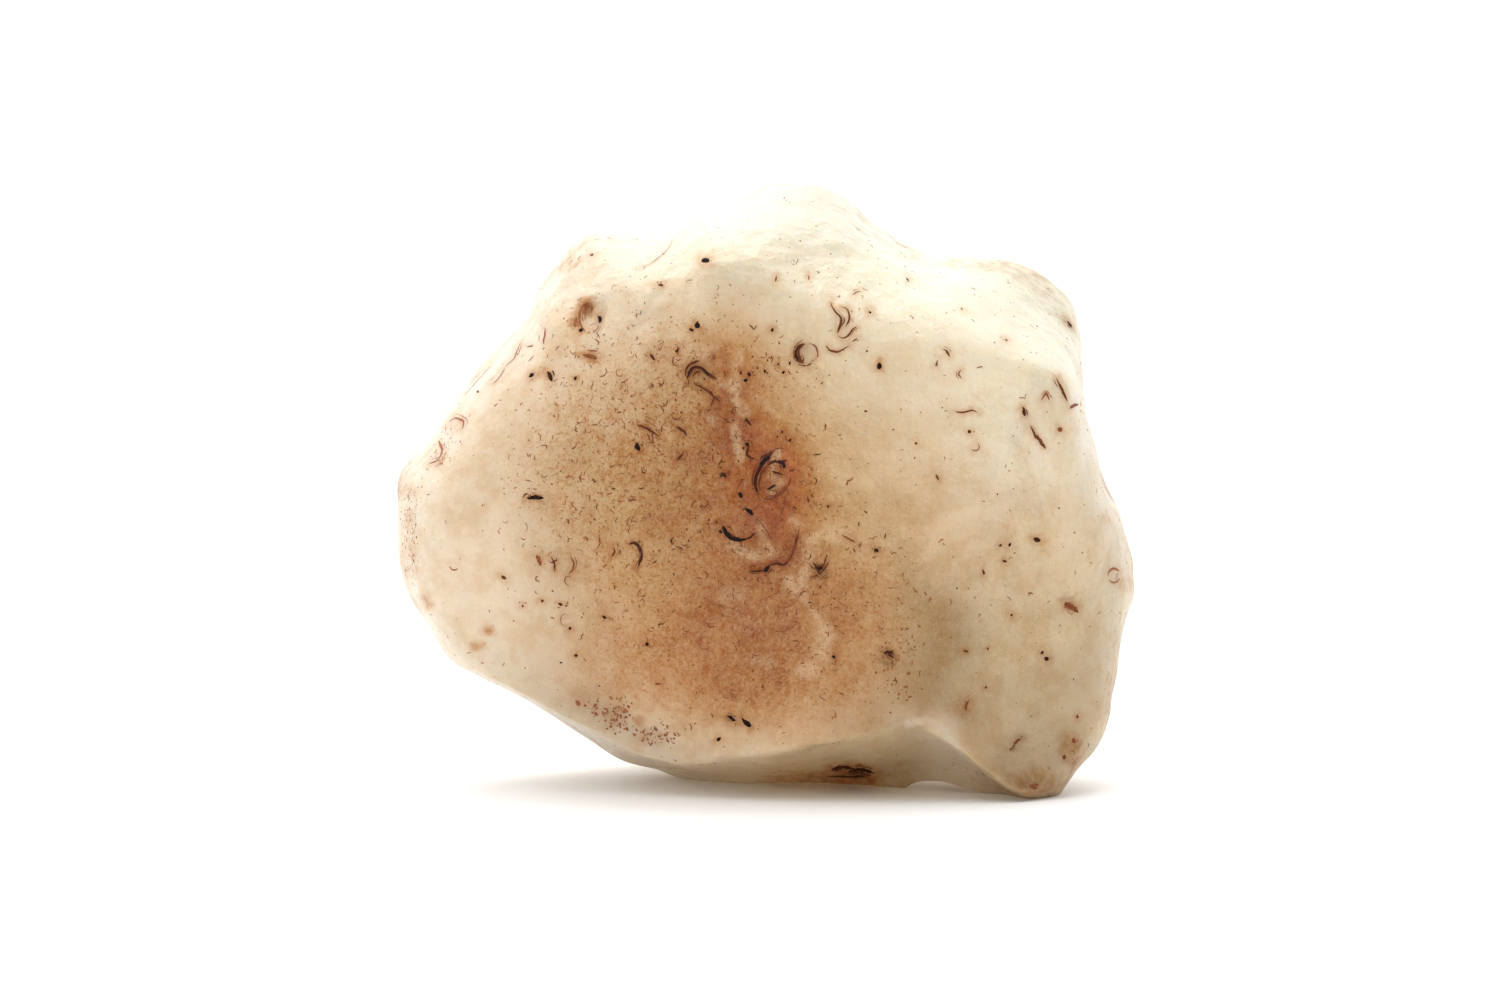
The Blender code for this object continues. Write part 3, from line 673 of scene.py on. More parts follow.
def strewn(skin, sheet_number, chance, count, rng):
    """Random places on one sheet, most where the chance is high and none under the stone.

    Gives each place as a row and column, two directions in the skin there, and the matrix that
    turns a move in millimetres into rows and columns.
    """
    grid = skin.grids[sheet_number]
    points = skin.points[grid]
    corner = points[:-1, :-1]
    area = np.linalg.norm(np.cross(points[1:, :-1] - corner, points[:-1, 1:] - corner), axis=-1)
    chance = area * chance[grid[:-1, :-1]] * (corner[..., 2] > UNDERSIDE)
    pick = rng.choice(chance.size, count, p=chance.ravel() / chance.sum())
    centre = np.stack(np.unravel_index(pick, chance.shape), axis=-1) + rng.random((count, 2))
    slope = skin.slopes(sheet_number, centre)
    first = slope[..., 0] / np.linalg.norm(slope[..., 0], axis=-1, keepdims=True)
    second = np.cross(skin.sample(sheet_number, centre)[1], first)
    return centre, first, second, np.linalg.pinv(slope)


def nicks(skin, sheet_number, count, busy, longest, rng):
    """Small scars on one sheet: short arcs of circles in random directions, most where it is busy."""
    chance = (0.03 + busy) * (skin.share < 0.985)
    centre, first, second, inverse = strewn(skin, sheet_number, chance, count, rng)
    radius = longest * rng.beta(1.1, 3.2, count) + 0.05
    span = 0.5 + 2.6 * rng.beta(1.2, 2.4, count)
    start = rng.uniform(0, 2 * math.pi, count)
    turn = start[:, None] + span[:, None] * np.linspace(0, 1, NICK_STATIONS)[None]
    away = radius[:, None] * (1 + 0.15 * rng.standard_normal((count, NICK_STATIONS)))
    shift = (away * np.cos(turn))[..., None] * first[:, None]
    shift += (away * np.sin(turn))[..., None] * second[:, None]
    paths = centre[:, None] + np.einsum("nij,nsj->nsi", inverse, shift)
    widths = (0.013 + 0.055 * radius) * rng.uniform(0.6, 1.6, count)
    tones = rng.beta(1.3, 2.6, count)
    return slivers(skin, sheet_number, paths, widths, tones, rng.uniform(0.7, 1.5, count))


def crumbs(skin, sheet_number, count, chance, size, darkness, rng):
    """Dots of dirt on one sheet: slivers hardly longer than they are wide."""
    centre, first, second, inverse = strewn(skin, sheet_number, chance, count, rng)
    turn = rng.uniform(0, 2 * math.pi, count)[:, None]
    heading = np.cos(turn) * first + np.sin(turn) * second
    widths = size * (0.016 + 0.055 * rng.beta(1.0, 4.0, count))
    length = widths[:, None] * rng.uniform(1.0, 1.9, count)[:, None]
    shift = (length * np.linspace(-1, 1, DOT_STATIONS)[None])[..., None] * heading[:, None]
    paths = centre[:, None] + np.einsum("nij,nsj->nsi", inverse, shift)
    tones = darkness * rng.beta(2.0, 1.6, count)
    return slivers(skin, sheet_number, paths, widths, tones, np.ones(count))


def join(name, parts):
    """One object from several sets of slivers."""
    base = np.cumsum([0] + [len(part["points"]) for part in parts])
    faces = []
    for part, start in zip(parts, base):
        faces += (part["quads"] + start).tolist() + (part["tips"] + start).tolist()
    item = put_mesh(name, np.vstack([part["points"] for part in parts]), faces, smooth=False)
    add_values(item, "tone", np.concatenate([part["tone"] for part in parts]))
    return item


# ---- The stains: how much of each colour there is at each point of the skin. ----

# Clouds of each stain: x, z, half width, half height, strength, and the share of the way out over
# which it is full.
CLOUDS = {
    "tan": [(-1.5, 16.5, 16.5, 17.0, 0.95, 0.35), (11.5, 8.5, 11.0, 13.5, 0.85, 0.3)],
    "grey": [(17.0, 8.0, 8.0, 12.0, 0.8, 0.3)],
    "olive": [(9.6, 9.8, 7.5, 7.5, 0.85, 0.15), (15.4, 1.2, 5.0, 4.5, 0.7, 0.2)],
    "brown": [(-1.6, 19.5, 6.6, 13.0, 0.85, 0.1), (-0.5, 10.0, 9.5, 8.0, 0.62, 0.2)],
    "peach": [(-4.5, 9.5, 9.0, 7.0, 0.6, 0.2), (3.5, 9.5, 7.5, 7.5, 0.4, 0.2)],
    "rust": [(-0.3, 17.8, 3.9, 6.2, 1.0, 0.15), (-1.8, 22.8, 3.6, 5.0, 0.6, 0.15)],
    "busy": [(-5.5, 20.0, 12.0, 12.0, 1.0, 0.1), (0.0, 12.0, 13.0, 10.0, 0.5, 0.1)],
}
# How much of each fades away on the back.
BACK_FADES = {"rust": 0.85, "brown": 0.7, "peach": 0.5, "busy": 0.4}
# Where reddish specks gather, in the same way but on the drawing.
SPECKLED = [
    (-8.6, 5.2, 1.1, 1.5, 1.0, 0.2), (-6.3, 4.1, 1.7, 0.9, 0.9, 0.2), (-9.9, 5.6, 0.9, 0.7, 0.7, 0.2),
    (7.3, 8.3, 1.4, 3.6, 0.3, 0.2), (-18.8, 20.9, 1.2, 1.6, 0.3, 0.2),
    (-20.6, 15.5, 0.9, 4.5, 0.2, 0.2),
]
# Where the stains are taken off, so the skin is paler than the clouds leave it, in the same way. The first
# two, under and at the brow's right-hand corner, are painted light that lifts the shade there.
CLEARED = [
    (10.2, 3.4, 2.0, 3.2, 1.0, 0.3), (8.0, 4.9, 1.8, 1.4, 0.5, 0.2),
    (10.6, 14.2, 3.2, 3.2, 0.35, 0.2), (13.6, 12.2, 3.6, 3.6, 0.5, 0.2),
    (13.8, 25.0, 3.6, 4.0, 0.5, 0.2), (-17.9, 16.8, 3.0, 3.2, 0.35, 0.2),
    (-17.9, 9.8, 3.0, 3.2, 0.4, 0.2), (17.2, 17.5, 2.4, 4.0, 0.35, 0.2),
    (-10.3, 30.8, 3.4, 1.8, 0.4, 0.2),
]
# Brown blots on the drawing: x, z, half width, half height and strength. Some are painted shade, as marked.
BLOTS = [
    (-10.4, 28.95, 0.6, 0.55, 0.95), (-11.0, 28.1, 0.28, 0.45, 0.8), (-10.2, 26.15, 0.6, 0.3, 0.55),
    (-16.1, 10.2, 0.4, 0.28, 0.6), (-16.7, 9.3, 0.45, 0.3, 0.5), (-11.6, 31.4, 0.8, 0.55, 0.6),
    # Painted shade along the left rim: the blots at x -20.9 to -20.0 on this line and the next.
    (-6.2, 32.8, 0.6, 0.3, 0.5), (-20.9, 18.4, 0.6, 0.5, 0.4), (-20.9, 16.5, 0.45, 0.8, 0.35),
    (-20.8, 14.8, 0.5, 0.6, 0.4), (-20.7, 13.6, 0.5, 0.4, 0.45), (-20.0, 11.8, 0.6, 0.6, 0.4),
    (-19.1, 20.6, 0.7, 0.8, 0.5), (-18.0, 22.2, 0.6, 0.6, 0.4), (-16.6, 24.6, 0.8, 0.4, 0.3),
    (15.6, 1.2, 1.5, 0.8, 0.38), (17.6, 3.2, 0.6, 1.0, 0.35), (17.7, 11.55, 0.45, 0.25, 0.4),
    (18.1, 22.2, 0.6, 0.7, 0.3), (18.1, 25.0, 0.4, 0.9, 0.3), (19.6, 16.7, 0.4, 0.4, 0.25),
    (20.9, 12.9, 0.5, 0.5, 0.3), (-8.8, 5.0, 0.7, 0.9, 0.25), (-6.4, 3.9, 1.0, 0.4, 0.2),
    # Painted shade where the stone meets the floor: the wide blot at 3.4, 1.45 here and the one at 4.9,
    # 1.95 on the next line.
    (-7.4, 4.9, 0.4, 0.3, 0.35), (7.1, 8.75, 0.3, 0.28, 0.5), (3.4, 1.45, 3.2, 0.55, 0.85),
    (4.9, 1.95, 1.5, 0.45, 0.8), (11.4, 5.6, 0.9, 0.8, 0.25), (1.4, 15.0, 0.35, 0.75, 0.6),
    (0.6, 14.15, 0.75, 0.2, 0.55), (-0.4, 13.8, 0.6, 0.2, 0.6), (-0.2, 19.8, 0.4, 0.5, 0.6),
    (-4.3, 25.4, 0.45, 0.45, 0.45), (0.9, 17.0, 0.9, 0.9, 0.3), (3.0, 13.9, 0.4, 0.3, 0.4),
]
# Where pale lacy veins gather, on the drawing: half width, strength and path in x and z.
VEINS = [
    (0.28, 1.0, [(-1.6, 26.2), (-1.8, 25.5), (-1.9, 24.6), (-1.8, 23.6), (-1.3, 22.8)]),
    (0.22, 0.9, [(-3.0, 24.7), (-2.1, 24.4)]),
    (0.25, 1.0, [(-1.9, 22.2), (-1.7, 21.3), (-1.5, 20.3)]),
    (0.35, 0.8, [(-4.1, 26.5), (-3.25, 26.5)]),
    (0.35, 0.6, [(-3.3, 22.7), (-3.0, 22.4)]),
    (0.12, 0.8, [(-0.6, 23.7), (0.0, 23.3), (0.8, 22.6)]),
    (0.22, 1.0, [(0.3, 18.2), (0.8, 18.9), (0.3, 19.3), (0.6, 20.5)]),
    (0.25, 0.9, [(1.5, 16.7), (1.9, 16.2)]),
    (0.22, 0.8, [(-0.3, 16.3), (-0.2, 15.4), (0.2, 14.9)]),
    (0.3, 0.9, [(-2.0, 15.2), (-1.5, 14.8), (-0.9, 14.6), (0.3, 14.6)]),
    (0.35, 0.9, [(2.6, 15.6), (3.4, 15.9), (4.2, 15.6)]),
    (0.25, 0.9, [(2.6, 15.2), (2.4, 13.9), (1.9, 12.8)]),
    (0.4, 0.9, [(1.4, 12.9), (2.0, 12.4)]),
    (0.18, 0.8, [(2.0, 12.2), (2.6, 11.5), (3.2, 10.6)]),
    (0.5, 1.0, [(3.3, 10.2), (3.3, 9.0)]),
    (0.4, 0.8, [(2.0, 7.8), (2.7, 7.9)]),
    (0.4, 0.5, [(-2.4, 12.2), (-1.5, 12.2)]),
    (0.3, 0.5, [(-0.7, 8.5), (0.2, 8.3)]),
]
# The crest of the brow's right-hand corner, where a pale highlight is painted, and the gap between the
# chips of the rim, painted pale.
CREST = [(8.2, 4.85), (9.3, 4.98), (9.9, 4.75), (10.6, 4.0), (11.3, 2.95), (12.3, 1.35)]
CHIP_GAP = [(-14.6, 26.5), (-15.4, 25.6), (-16.5, 24.2), (-16.4, 23.0)]
# Two straight borders, each as a place on it and how fast it moves over: the crease below the top
# facets, whose height falls to the right, and the seam at the lower right, which leans left going up.
CREASE = (-3.6, 33.3, -0.417)
SEAM = (3.6, 9.3, -0.27)


def ease(value, low, high):
    """Runs smoothly from 0 to 1 as the value goes from low to high."""
    part = np.clip((value - low) / (high - low), 0, 1)
    return part * part * (3 - 2 * part)


def clouded(x, z, clouds):
    """The stain left by a group of clouds: 1 less the product of what each lets through."""
    clear = np.ones_like(x)
    for at_x, at_z, half_x, half_z, strength, full in clouds:
        clear *= 1 - strength * ease(np.hypot((x - at_x) / half_x, (z - at_z) / half_z), 1.0, full)
    return 1 - clear


def away_from(x, z, line):
    """The distance from each point to a line of several straight runs."""
    away = np.full(len(x), 99.0)
    for start, end in zip(line[:-1], line[1:]):
        run = np.subtract(end, start)
        part = np.clip(((x - start[0]) * run[0] + (z - start[1]) * run[1]) / (run @ run), 0, 1)
        away = np.minimum(away, np.hypot(x - start[0] - part * run[0], z - start[1] - part * run[1]))
    return away


def past(border, along, over):
    """How far over a straight border each point lies; along is measured the way the border runs."""
    start, level, slope = border
    return over - (level + slope * (along - start))


def cloud_amounts(p, at, front):
    """The broad stains, from clouds whose edges drift, more so on the back, where they are weaker."""
    behind = ease(p[:, 1], 0.0, 9.0)
    swing, sway = 1.5 + 3.5 * behind, 0.7 + behind
    drift_x = layered(p, (swing, 6.0, 21), (sway, 2.2, 23))
    drift_z = layered(p, (swing, 6.0, 22), (sway, 2.2, 24))
    x, z = p[:, 0] + drift_x, p[:, 2] + drift_z
    uneven = 1 + 0.25 * layered(p, (0.6, 5.0, 25), (0.4, 2.4, 26))
    found = {name: clouded(x, z, clouds) * uneven for name, clouds in CLOUDS.items()}
    for name, fade in BACK_FADES.items():
        found[name] *= 1 - fade * behind
    for name in ("tan", "grey", "olive", "brown", "peach"):
        found[name] *= 1 - clouded(*at, CLEARED) * front

    # The cream of the upper right facets is partly their paler glass and partly painted light: it rises
    # broadly towards the crease, which softens the step in shading there.
    over_crease = past(CREASE, x, z - 0.6 * drift_z)
    found["cream"] = 0.55 * ease(over_crease, -12.0, -1.0) + 0.45 * ease(over_crease, -2.5, 2.0)
    right_of_seam = past(SEAM, at[1], at[0]) + 0.8 * drift_x
    found["olive"] *= ease(right_of_seam, -2.4, 2.0)
    found["peach"] *= ease(right_of_seam, 1.8, -1.2)
    return found


def side_amounts(skin, front):
    """The dirt and painted shade in patches on the steep sides, weaker towards the top, and the greyer
    colour of the face past its crisp brow.
    """
    p = skin.start
    angle = np.degrees(np.arctan2(p[:, 2] - HEART[1], p[:, 0] - HEART[0]))
    from_rim = np.hypot(p[:, 1] - rim_lean(angle), (1 - skin.share) * reach(angle, 1.0))
    patchy = layered(p, (1.0, 3.0, 27), (0.7, 1.1, 28), (0.6, 0.4, 31))
    steep = ease(np.abs(skin.normals[:, 1]), 0.85, 0.30)
    rim_dirt_and_shade = ease(patchy + 0.50 - 0.20 * from_rim, 0.0, 1.8) * ease(from_rim, 5.0, 2.0)
    past_brow = skin.share - closed_curve(BROW, 1)(angle)
    crisp = closed_curve(BROW, 2)(angle)
    return {
        # Painted shade together with the dirt: on steep sides near the rim, less towards the top.
        "edge": steep * rim_dirt_and_shade * (1 - 0.6 * ease(p[:, 2], 22.0, 31.0)),
        "under": ease(past_brow, -0.004, 0.022) * ease(crisp, 0.55, 0.9) * front,
    }


def mark_amounts(skin, at, front, under):
    """The veins, the painted highlight on the crest and painted glow under the brow, the blots, the specks,
    and the halo of dirt about the large scars.
    """
    facing = front * ease(-skin.normals[:, 1], 0.10, 0.40)
    thin = layered(skin.start, (0.7, 0.9, 29), (0.5, 0.45, 30))
    vein, blot, halo = np.zeros((3, len(front)))
    for half, strength, line in VEINS:
        vein = np.maximum(vein, strength * ease(away_from(*at, line) / half + 0.5 * thin, 1.7, 0.3))
    for at_x, at_z, half_x, half_z, strength in BLOTS:
        off = np.hypot((at[0] - at_x) / half_x, (at[1] - at_z) / half_z)
        blot = np.maximum(blot, strength * ease(off + 0.5 * thin, 1.5, 0.4))
    for path, width, tone, _ in SCARS:
        off = away_from(*at, path) / (0.18 + 1.5 * width)
        halo = np.maximum(halo, (0.2 + 0.6 * tone) * np.exp(-(off**2)))

    # A painted highlight along the crest, a pale strip in the gap between the chips, and a painted glow on
    # the underside past the brow, at its left and under its right-hand corner.
    crest = 0.7 * ease(away_from(*at, CREST) + 0.06 * thin, 0.36, 0.06)
    gap = 0.8 * ease(away_from(*at, CHIP_GAP) + 0.15 * thin, 0.55, 0.15)
    painted_glow = under * np.maximum(0.75 * ease(-at[0], -2.0, 5.0), 0.6 * ease(at[0], 7.8, 10.4))
    return {
        "vein": vein * front,
        "crest": np.maximum(np.maximum(crest, gap) * front, painted_glow),
        "blot": blot * facing,
        "speckled": clouded(*at, SPECKLED) * facing,
        "halo": halo * facing * (0.8 + 0.4 * thin),
    }


def amounts(skin):
    """How much of each stain there is at each point of the skin, from 0 to 1."""
    at = drawn(skin.start).T
    front = np.zeros(len(skin.start), bool)
    front[skin.grids[0].ravel()] = True
    found = cloud_amounts(skin.start, at, front)
    found.update(side_amounts(skin, front))
    found.update(mark_amounts(skin, at, front, found["under"]))
    return {name: np.clip(value, 0, 1) for name, value in found.items()}


# ---- Shader maths. ----


class Term:
    """One value of a shader: its operators and methods add the nodes that work out a new one."""

    def __init__(self, graph, socket):
        self.graph = graph
        self.socket = socket

    def maths(self, operation, *others):
        """A sum worked out from this value and the others."""
        values = dict(enumerate((self, *others)))
        return self.graph.node("ShaderNodeMath", {"operation": operation}, values)

    def vector(self, operation, *others, out=0, **sockets):
        """The same for a place or a direction."""
        values = {**dict(enumerate((self, *others))), **sockets}
        return self.graph.node("ShaderNodeVectorMath", {"operation": operation}, values, out)

    def __add__(self, other):
        return self.maths("ADD", other)

    __radd__ = __add__

    def __sub__(self, other):
        return self.maths("SUBTRACT", other)

    def __rsub__(self, other):
        return self.graph.node("ShaderNodeMath", {"operation": "SUBTRACT"}, {0: other, 1: self})

    def __mul__(self, other):
        return self.maths("MULTIPLY", other)

    __rmul__ = __mul__

    def step(self, low, high, to_low=0.0, to_high=1.0):
        """Runs smoothly from to_low to to_high as this value goes from low to high."""
        sockets = {"Value": self, 1: low, 2: high, 3: to_low, 4: to_high}
        return self.graph.node("ShaderNodeMapRange", {"interpolation_type": "SMOOTHSTEP"}, sockets)

    def to(self, other, share):
        """This colour mixed towards another colour by the share."""
        sockets = {0: share, 6: self, 7: other}
        settings = {"data_type": "RGBA", "clamp_factor": True}
        return self.graph.node("ShaderNodeMix", settings, sockets, 2)

    def stained(self, rgb, share):
        """This colour seen through a dye: multiplied by the dye's colour to the power of the share."""
        stops = [(k / 4, (*(channel ** (k / 4) for channel in rgb), 1)) for k in range(5)]
        dye = self.graph.node("ShaderNodeValToRGB", {"stops": stops}, {0: share})
        settings = {"data_type": "RGBA", "blend_type": "MULTIPLY"}
        return self.graph.node("ShaderNodeMix", settings, {0: 1.0, 6: self, 7: dye}, 2)


class Graph:
    """The nodes of one material or of the world."""

    def __init__(self, owner):
        owner.use_nodes = True
        self.owner = owner
        self.tree = owner.node_tree
        self.tree.nodes.clear()

    def node(self, kind, settings=None, sockets=None, out=0):
        """Adds a node: its settings first, then the values or links of its sockets."""
        made = self.tree.nodes.new(kind)
        for key, value in (settings or {}).items():
            if key == "stops":
                self.set_stops(made.color_ramp, value)
            else:
                setattr(made, key, value)
        for key, value in (sockets or {}).items():
            if isinstance(value, Term):
                self.tree.links.new(value.socket, made.inputs[key])
            else:
                made.inputs[key].default_value = value
        return Term(self, made.outputs[out]) if len(made.outputs) else made

    def set_stops(self, ramp, stops):
        """Gives a ramp its colours, each at its place from 0 to 1."""
        while len(ramp.elements) < len(stops):
            ramp.elements.new(0.5)
        for element, (place, colour) in zip(ramp.elements, stops):
            element.position = place
            element.color = colour

    def place(self):
        """The place on the object in millimetres."""
        found = self.node("ShaderNodeTexCoord", out=3)
        return found.vector("SCALE", Scale=1 / MM)

    def noise(self, place, scale, detail=2.0, roughness=0.5, distortion=0.0):
        """Cloudy noise from 0 to 1; the scale is how many times it turns over in a millimetre."""
        sockets = {"Vector": place, "Scale": scale, "Detail": detail, "Roughness": roughness}
        return self.node("ShaderNodeTexNoise", None, {**sockets, "Distortion": distortion})

    def ridges(self, place, scale, detail, roughness, distortion=0.0):
        """Thin lines where such noise passes through its middle, from 0 to 1."""
        off = (self.noise(place, scale, detail, roughness, distortion) - 0.5).maths("ABSOLUTE")
        return off.step(0.0, 0.06, 1.0, 0.0)

    def colour(self, rgb):
        """One plain colour, as a value that can be mixed and stained."""
        return self.node("ShaderNodeMix", {"data_type": "RGBA"}, {0: 0.0, 6: (*rgb, 1)}, 2)


def srgb(red, green, blue):
    """A screen colour from 0 to 255 as the linear colour that a shader takes."""
    return tuple(((v / 255 + 0.055) / 1.055) ** 2.4 if v > 10 else v / 3294.6 for v in (red, green, blue))


# ---- The settings that a user would change. ----


def swatch(name, description, colour):
    """A colour setting with its default given as a screen colour."""
    default = srgb(*colour)
    return FloatVectorProperty(
        name=name, description=description, default=default, subtype="COLOR", min=0, max=1
    )


class GlassSettings(bpy.types.PropertyGroup):
    """The lump of glass: its fineness, clearness and colours"""

    cells: IntProperty(
        name="Cells", description="Cells along each side of a sheet's grid", default=220, min=20
    )
    clearness: FloatProperty(
        name="Clearness", description="How much light goes straight in, against milky light",
        default=0.45, min=0, max=1, subtype="FACTOR",
    )
    density: FloatProperty(
        name="Density", description="How fast the body of the glass takes up light, for each metre",
        default=36.0, min=0,
    )
    body: swatch("Body", "What the body of the glass lets through", (234, 206, 164))
    pale: swatch("Pale glass", "The thin glass near the rim", (244, 231, 208))
    tan: swatch("Tan glass", "The thicker glass", (203, 173, 124))
    brown: swatch("Brown stain", "What the stain down the middle lets through", (212, 166, 118))
    grey: swatch("Grey glass", "The dull glass at the right-hand edge", (228, 214, 182))
    olive: swatch("Olive stain", "What the stain at the lower right lets through", (214, 209, 198))
    peach: swatch("Peach stain", "What the warm cloud at the lower left lets through", (243, 212, 187))
    rust: swatch("Rust stain", "What the darkest stain at the middle lets through", (238, 176, 110))
    # The cream is partly the paler glass and partly painted light on the upper facets.
    cream: swatch("Cream glass", "The upper right facets", (247, 246, 226))
    vein: swatch("Pale veins", "The thin milky veins", (228, 206, 166))
    # The edge colour paints shade on the steep sides as well as dirt.
    edge: swatch("Edge dirt", "What the dirt worn into the rim lets through", (166, 120, 84))
    under: swatch("Underside", "The greyer glass under the brow", (200, 187, 155))
    # The colour of the painted highlight on the crest and of the painted glow under the brow.
    crest: swatch("Crest", "The polished crest of the brow", (244, 232, 212))
    blot: swatch("Blots", "What the brown blots let through", (166, 96, 44))
    halo: swatch("Halo", "What the dirt about the large scars lets through", (170, 96, 46))
    freckles: swatch("Freckles", "What the reddish freckles let through", (206, 134, 80))
    patches: swatch("Patches", "What the warm patches let through", (204, 146, 96))
    mottle: swatch("Mottle", "What the cloudy mottling lets through", (214, 184, 144))


class ScarSettings(bpy.types.PropertyGroup):
    """The scars: how many small ones, and their colours"""

    nicks: IntProperty(name="Nicks", description="Small curved nicks on the face", default=2600, min=0)
    dots: IntProperty(name="Dots", description="Dots of dirt on the face", default=900, min=0)
    specks: IntProperty(name="Specks", description="Reddish specks by the rim", default=420, min=0)
    longest: FloatProperty(
        name="Longest nick", description="The radius of the largest nick's arc",
        default=0.00045, unit="LENGTH", min=0,
    )
    # The scars' colours stand for their dirt and for the painted shade of their cracks and pits.
    fresh: swatch("Light dirt", "The lightest scars", (182, 126, 86))
    old: swatch("Dark dirt", "The darkest scars", (24, 15, 10))


class StudioSettings(bpy.types.PropertyGroup):
    """The studio: its floor, light and camera"""

    floor: FloatVectorProperty(
        name="Floor", description="The floor's colour", default=(0.93, 0.93, 0.93), subtype="COLOR",
        min=0, max=1,
    )
    sky: FloatProperty(
        name="Sky", description="The even white light from behind and above", default=2.05, min=0
    )
    front: FloatProperty(
        name="Front", description="The even white light from the front", default=0.5, min=0
    )
    lamp: FloatProperty(
        name="Lamp", description="The power of the soft lamp above, behind and to the left",
        default=0.45, min=0, unit="POWER",
    )
    distance: FloatProperty(
        name="Camera distance", description="How far the camera stands from the stone",
        default=0.35, min=0.05, unit="LENGTH",
    )
    tilt: FloatProperty(
        name="Camera tilt", description="How steeply the camera looks down",
        default=math.radians(5), subtype="ANGLE",
    )
    lens: FloatProperty(
        name="Lens", description="The camera's focal length", default=140, min=10, unit="CAMERA"
    )


# ---- The materials. ----


GLASS_IOR = 1.46
# How each stain takes to the glass: its strength where full, how ragged it is, and whether it soaks in
# like a dye or lies over what is there.
STAINS = (
    ("tan", 1.0, 0.5, False), ("grey", 1.0, 0.5, False), ("cream", 1.0, 0.2, False),
    ("olive", 1.0, 0.6, True), ("brown", 1.0, 1.0, True), ("peach", 1.0, 1.2, True),
    ("rust", 0.9, 1.6, True), ("under", 1.0, 0.0, False), ("edge", 0.75, 2.2, True),
)


def glass_colour(graph, settings, place, coarse):
    """The pale glass with its stains, then its mottling, veins, blots, painted highlight and glow, and
    haloes of dirt.
    """

    def amount(name):
        return graph.node("ShaderNodeAttribute", {"attribute_name": name}, None, 2)

    grain = coarse - 0.5
    fine = graph.noise(place, 6.5, 2.0, 0.6)
    pale_vein = graph.colour(settings.vein)
    colour = graph.colour(settings.pale)
    for name, strength, raggedness, soaks_in in STAINS:
        share = amount(name) * (strength + raggedness * grain)
        shade = getattr(settings, name)
        colour = colour.stained(shade, share) if soaks_in else colour.to(graph.colour(shade), share)

    warm = amount("busy").maths("MAXIMUM", amount("peach") * 1.3)
    rust = amount("rust")
    freckles = coarse.step(0.5, 0.68) * 0.35 + fine.step(0.5, 0.68) * 0.5
    colour = colour.stained(settings.freckles, freckles * (0.08 + 0.85 * warm))
    patches = graph.noise(place, 0.8, 4.0, 0.65).step(0.46, 0.64)
    colour = colour.stained(settings.patches, patches * 0.35 * warm)
    net = graph.ridges(place, 1.2, 4.0, 0.65, 0.4) * (0.04 + 0.16 * warm)
    colour = colour.to(pale_vein, net * (1.0 - 0.7 * rust))
    mottle = graph.noise(place, 0.45, 5.0, 0.7).step(0.42, 0.64) * 0.28
    colour = colour.stained(settings.mottle, mottle * (1.0 - 0.8 * amount("cream")))
    flecks = (0.5 - fine).step(0.02, 0.22) * 0.3
    colour = colour.to(pale_vein, flecks * (1.0 - 0.8 * rust))
    lace = graph.ridges(place, 1.5, 5.0, 0.7)
    colour = colour.to(pale_vein, amount("vein") * (0.30 + 0.55 * lace))
    colour = colour.stained(settings.blot, amount("blot") * (0.62 + 2.2 * grain))
    # The painted highlight on the crest and the painted glow under the brow.
    colour = colour.to(graph.colour(settings.crest), amount("crest") * 0.85)
    return colour.stained(settings.halo, amount("halo") * (0.4 + 1.2 * grain))


def glass_material(settings):
    """Cloudy glass: milky light under the skin and some clear light, coloured by the stains."""
    graph = Graph(bpy.data.materials.new("cloudy desert glass"))
    place = graph.place()
    coarse = graph.noise(place, 2.2, 4.0, 0.68)
    height = graph.noise(place, 0.7, 4.0, 0.55)
    bump = graph.node("ShaderNodeBump", None, {"Strength": 0.4, "Distance": MM, "Height": height})
    surface = graph.node(
        "ShaderNodeBsdfPrincipled",
        None,
        {
            "Base Color": glass_colour(graph, settings, place, coarse),
            "Roughness": 0.18 + 0.4 * coarse,
            "Normal": bump,
            "Specular IOR Level": 0.2,
            "IOR": GLASS_IOR,
            "Subsurface Weight": 1.0,
            "Subsurface Radius": (1.0, 0.75, 0.5),
            "Subsurface Scale": 0.0016,
            "Transmission Weight": settings.clearness,
        },
    )
    sockets = {"Color": (*settings.body, 1), "Density": settings.density}
    volume = graph.node("ShaderNodeVolumeAbsorption", None, sockets)
    graph.node("ShaderNodeOutputMaterial", None, {"Surface": surface, "Volume": volume})
    return graph.owner


def scar_material(settings):
    """Dirt and painted shade: from light to dark by the sliver's tone, broken up by noise."""
    graph = Graph(bpy.data.materials.new("dark scar"))
    tone = graph.node("ShaderNodeAttribute", {"attribute_name": "tone"}, None, 2)
    broken = tone + 0.35 * (graph.noise(graph.place(), 6.0, 2.0) - 0.5)
    stops = [
        (0.0, (*settings.fresh, 1)), (0.4, (*srgb(132, 72, 40), 1)),
        (0.75, (*srgb(72, 37, 21), 1)), (1.0, (*settings.old, 1)),
    ]
    colour = graph.node("ShaderNodeValToRGB", {"stops": stops}, {0: broken})
    shader = graph.node(
        "ShaderNodeBsdfPrincipled",
        None,
        {"Base Color": colour, "Roughness": 0.6 + 0.3 * tone, "IOR": GLASS_IOR, "Specular IOR Level": 0.2},
    )
    graph.node("ShaderNodeOutputMaterial", None, {"Surface": shader})
    return graph.owner


# The way to the brightest part of the sky: above, behind and to the left.
BRIGHT_SIDE = (-0.35, 0.75, 0.56)
# Places in metres: the lamp, what it points at, and what the camera looks at.
LAMP_PLACE = (-0.02, 0.11, 0.27)
LAMP_AIM = (0, 0, 0.018)
CAMERA_AIM = (-0.00096, 0, 0.0167)
# The floor's left, right, near and far edges in millimetres.
FLOOR = (-1500, 1500, -900, 2500)

# ---- The operators. ----


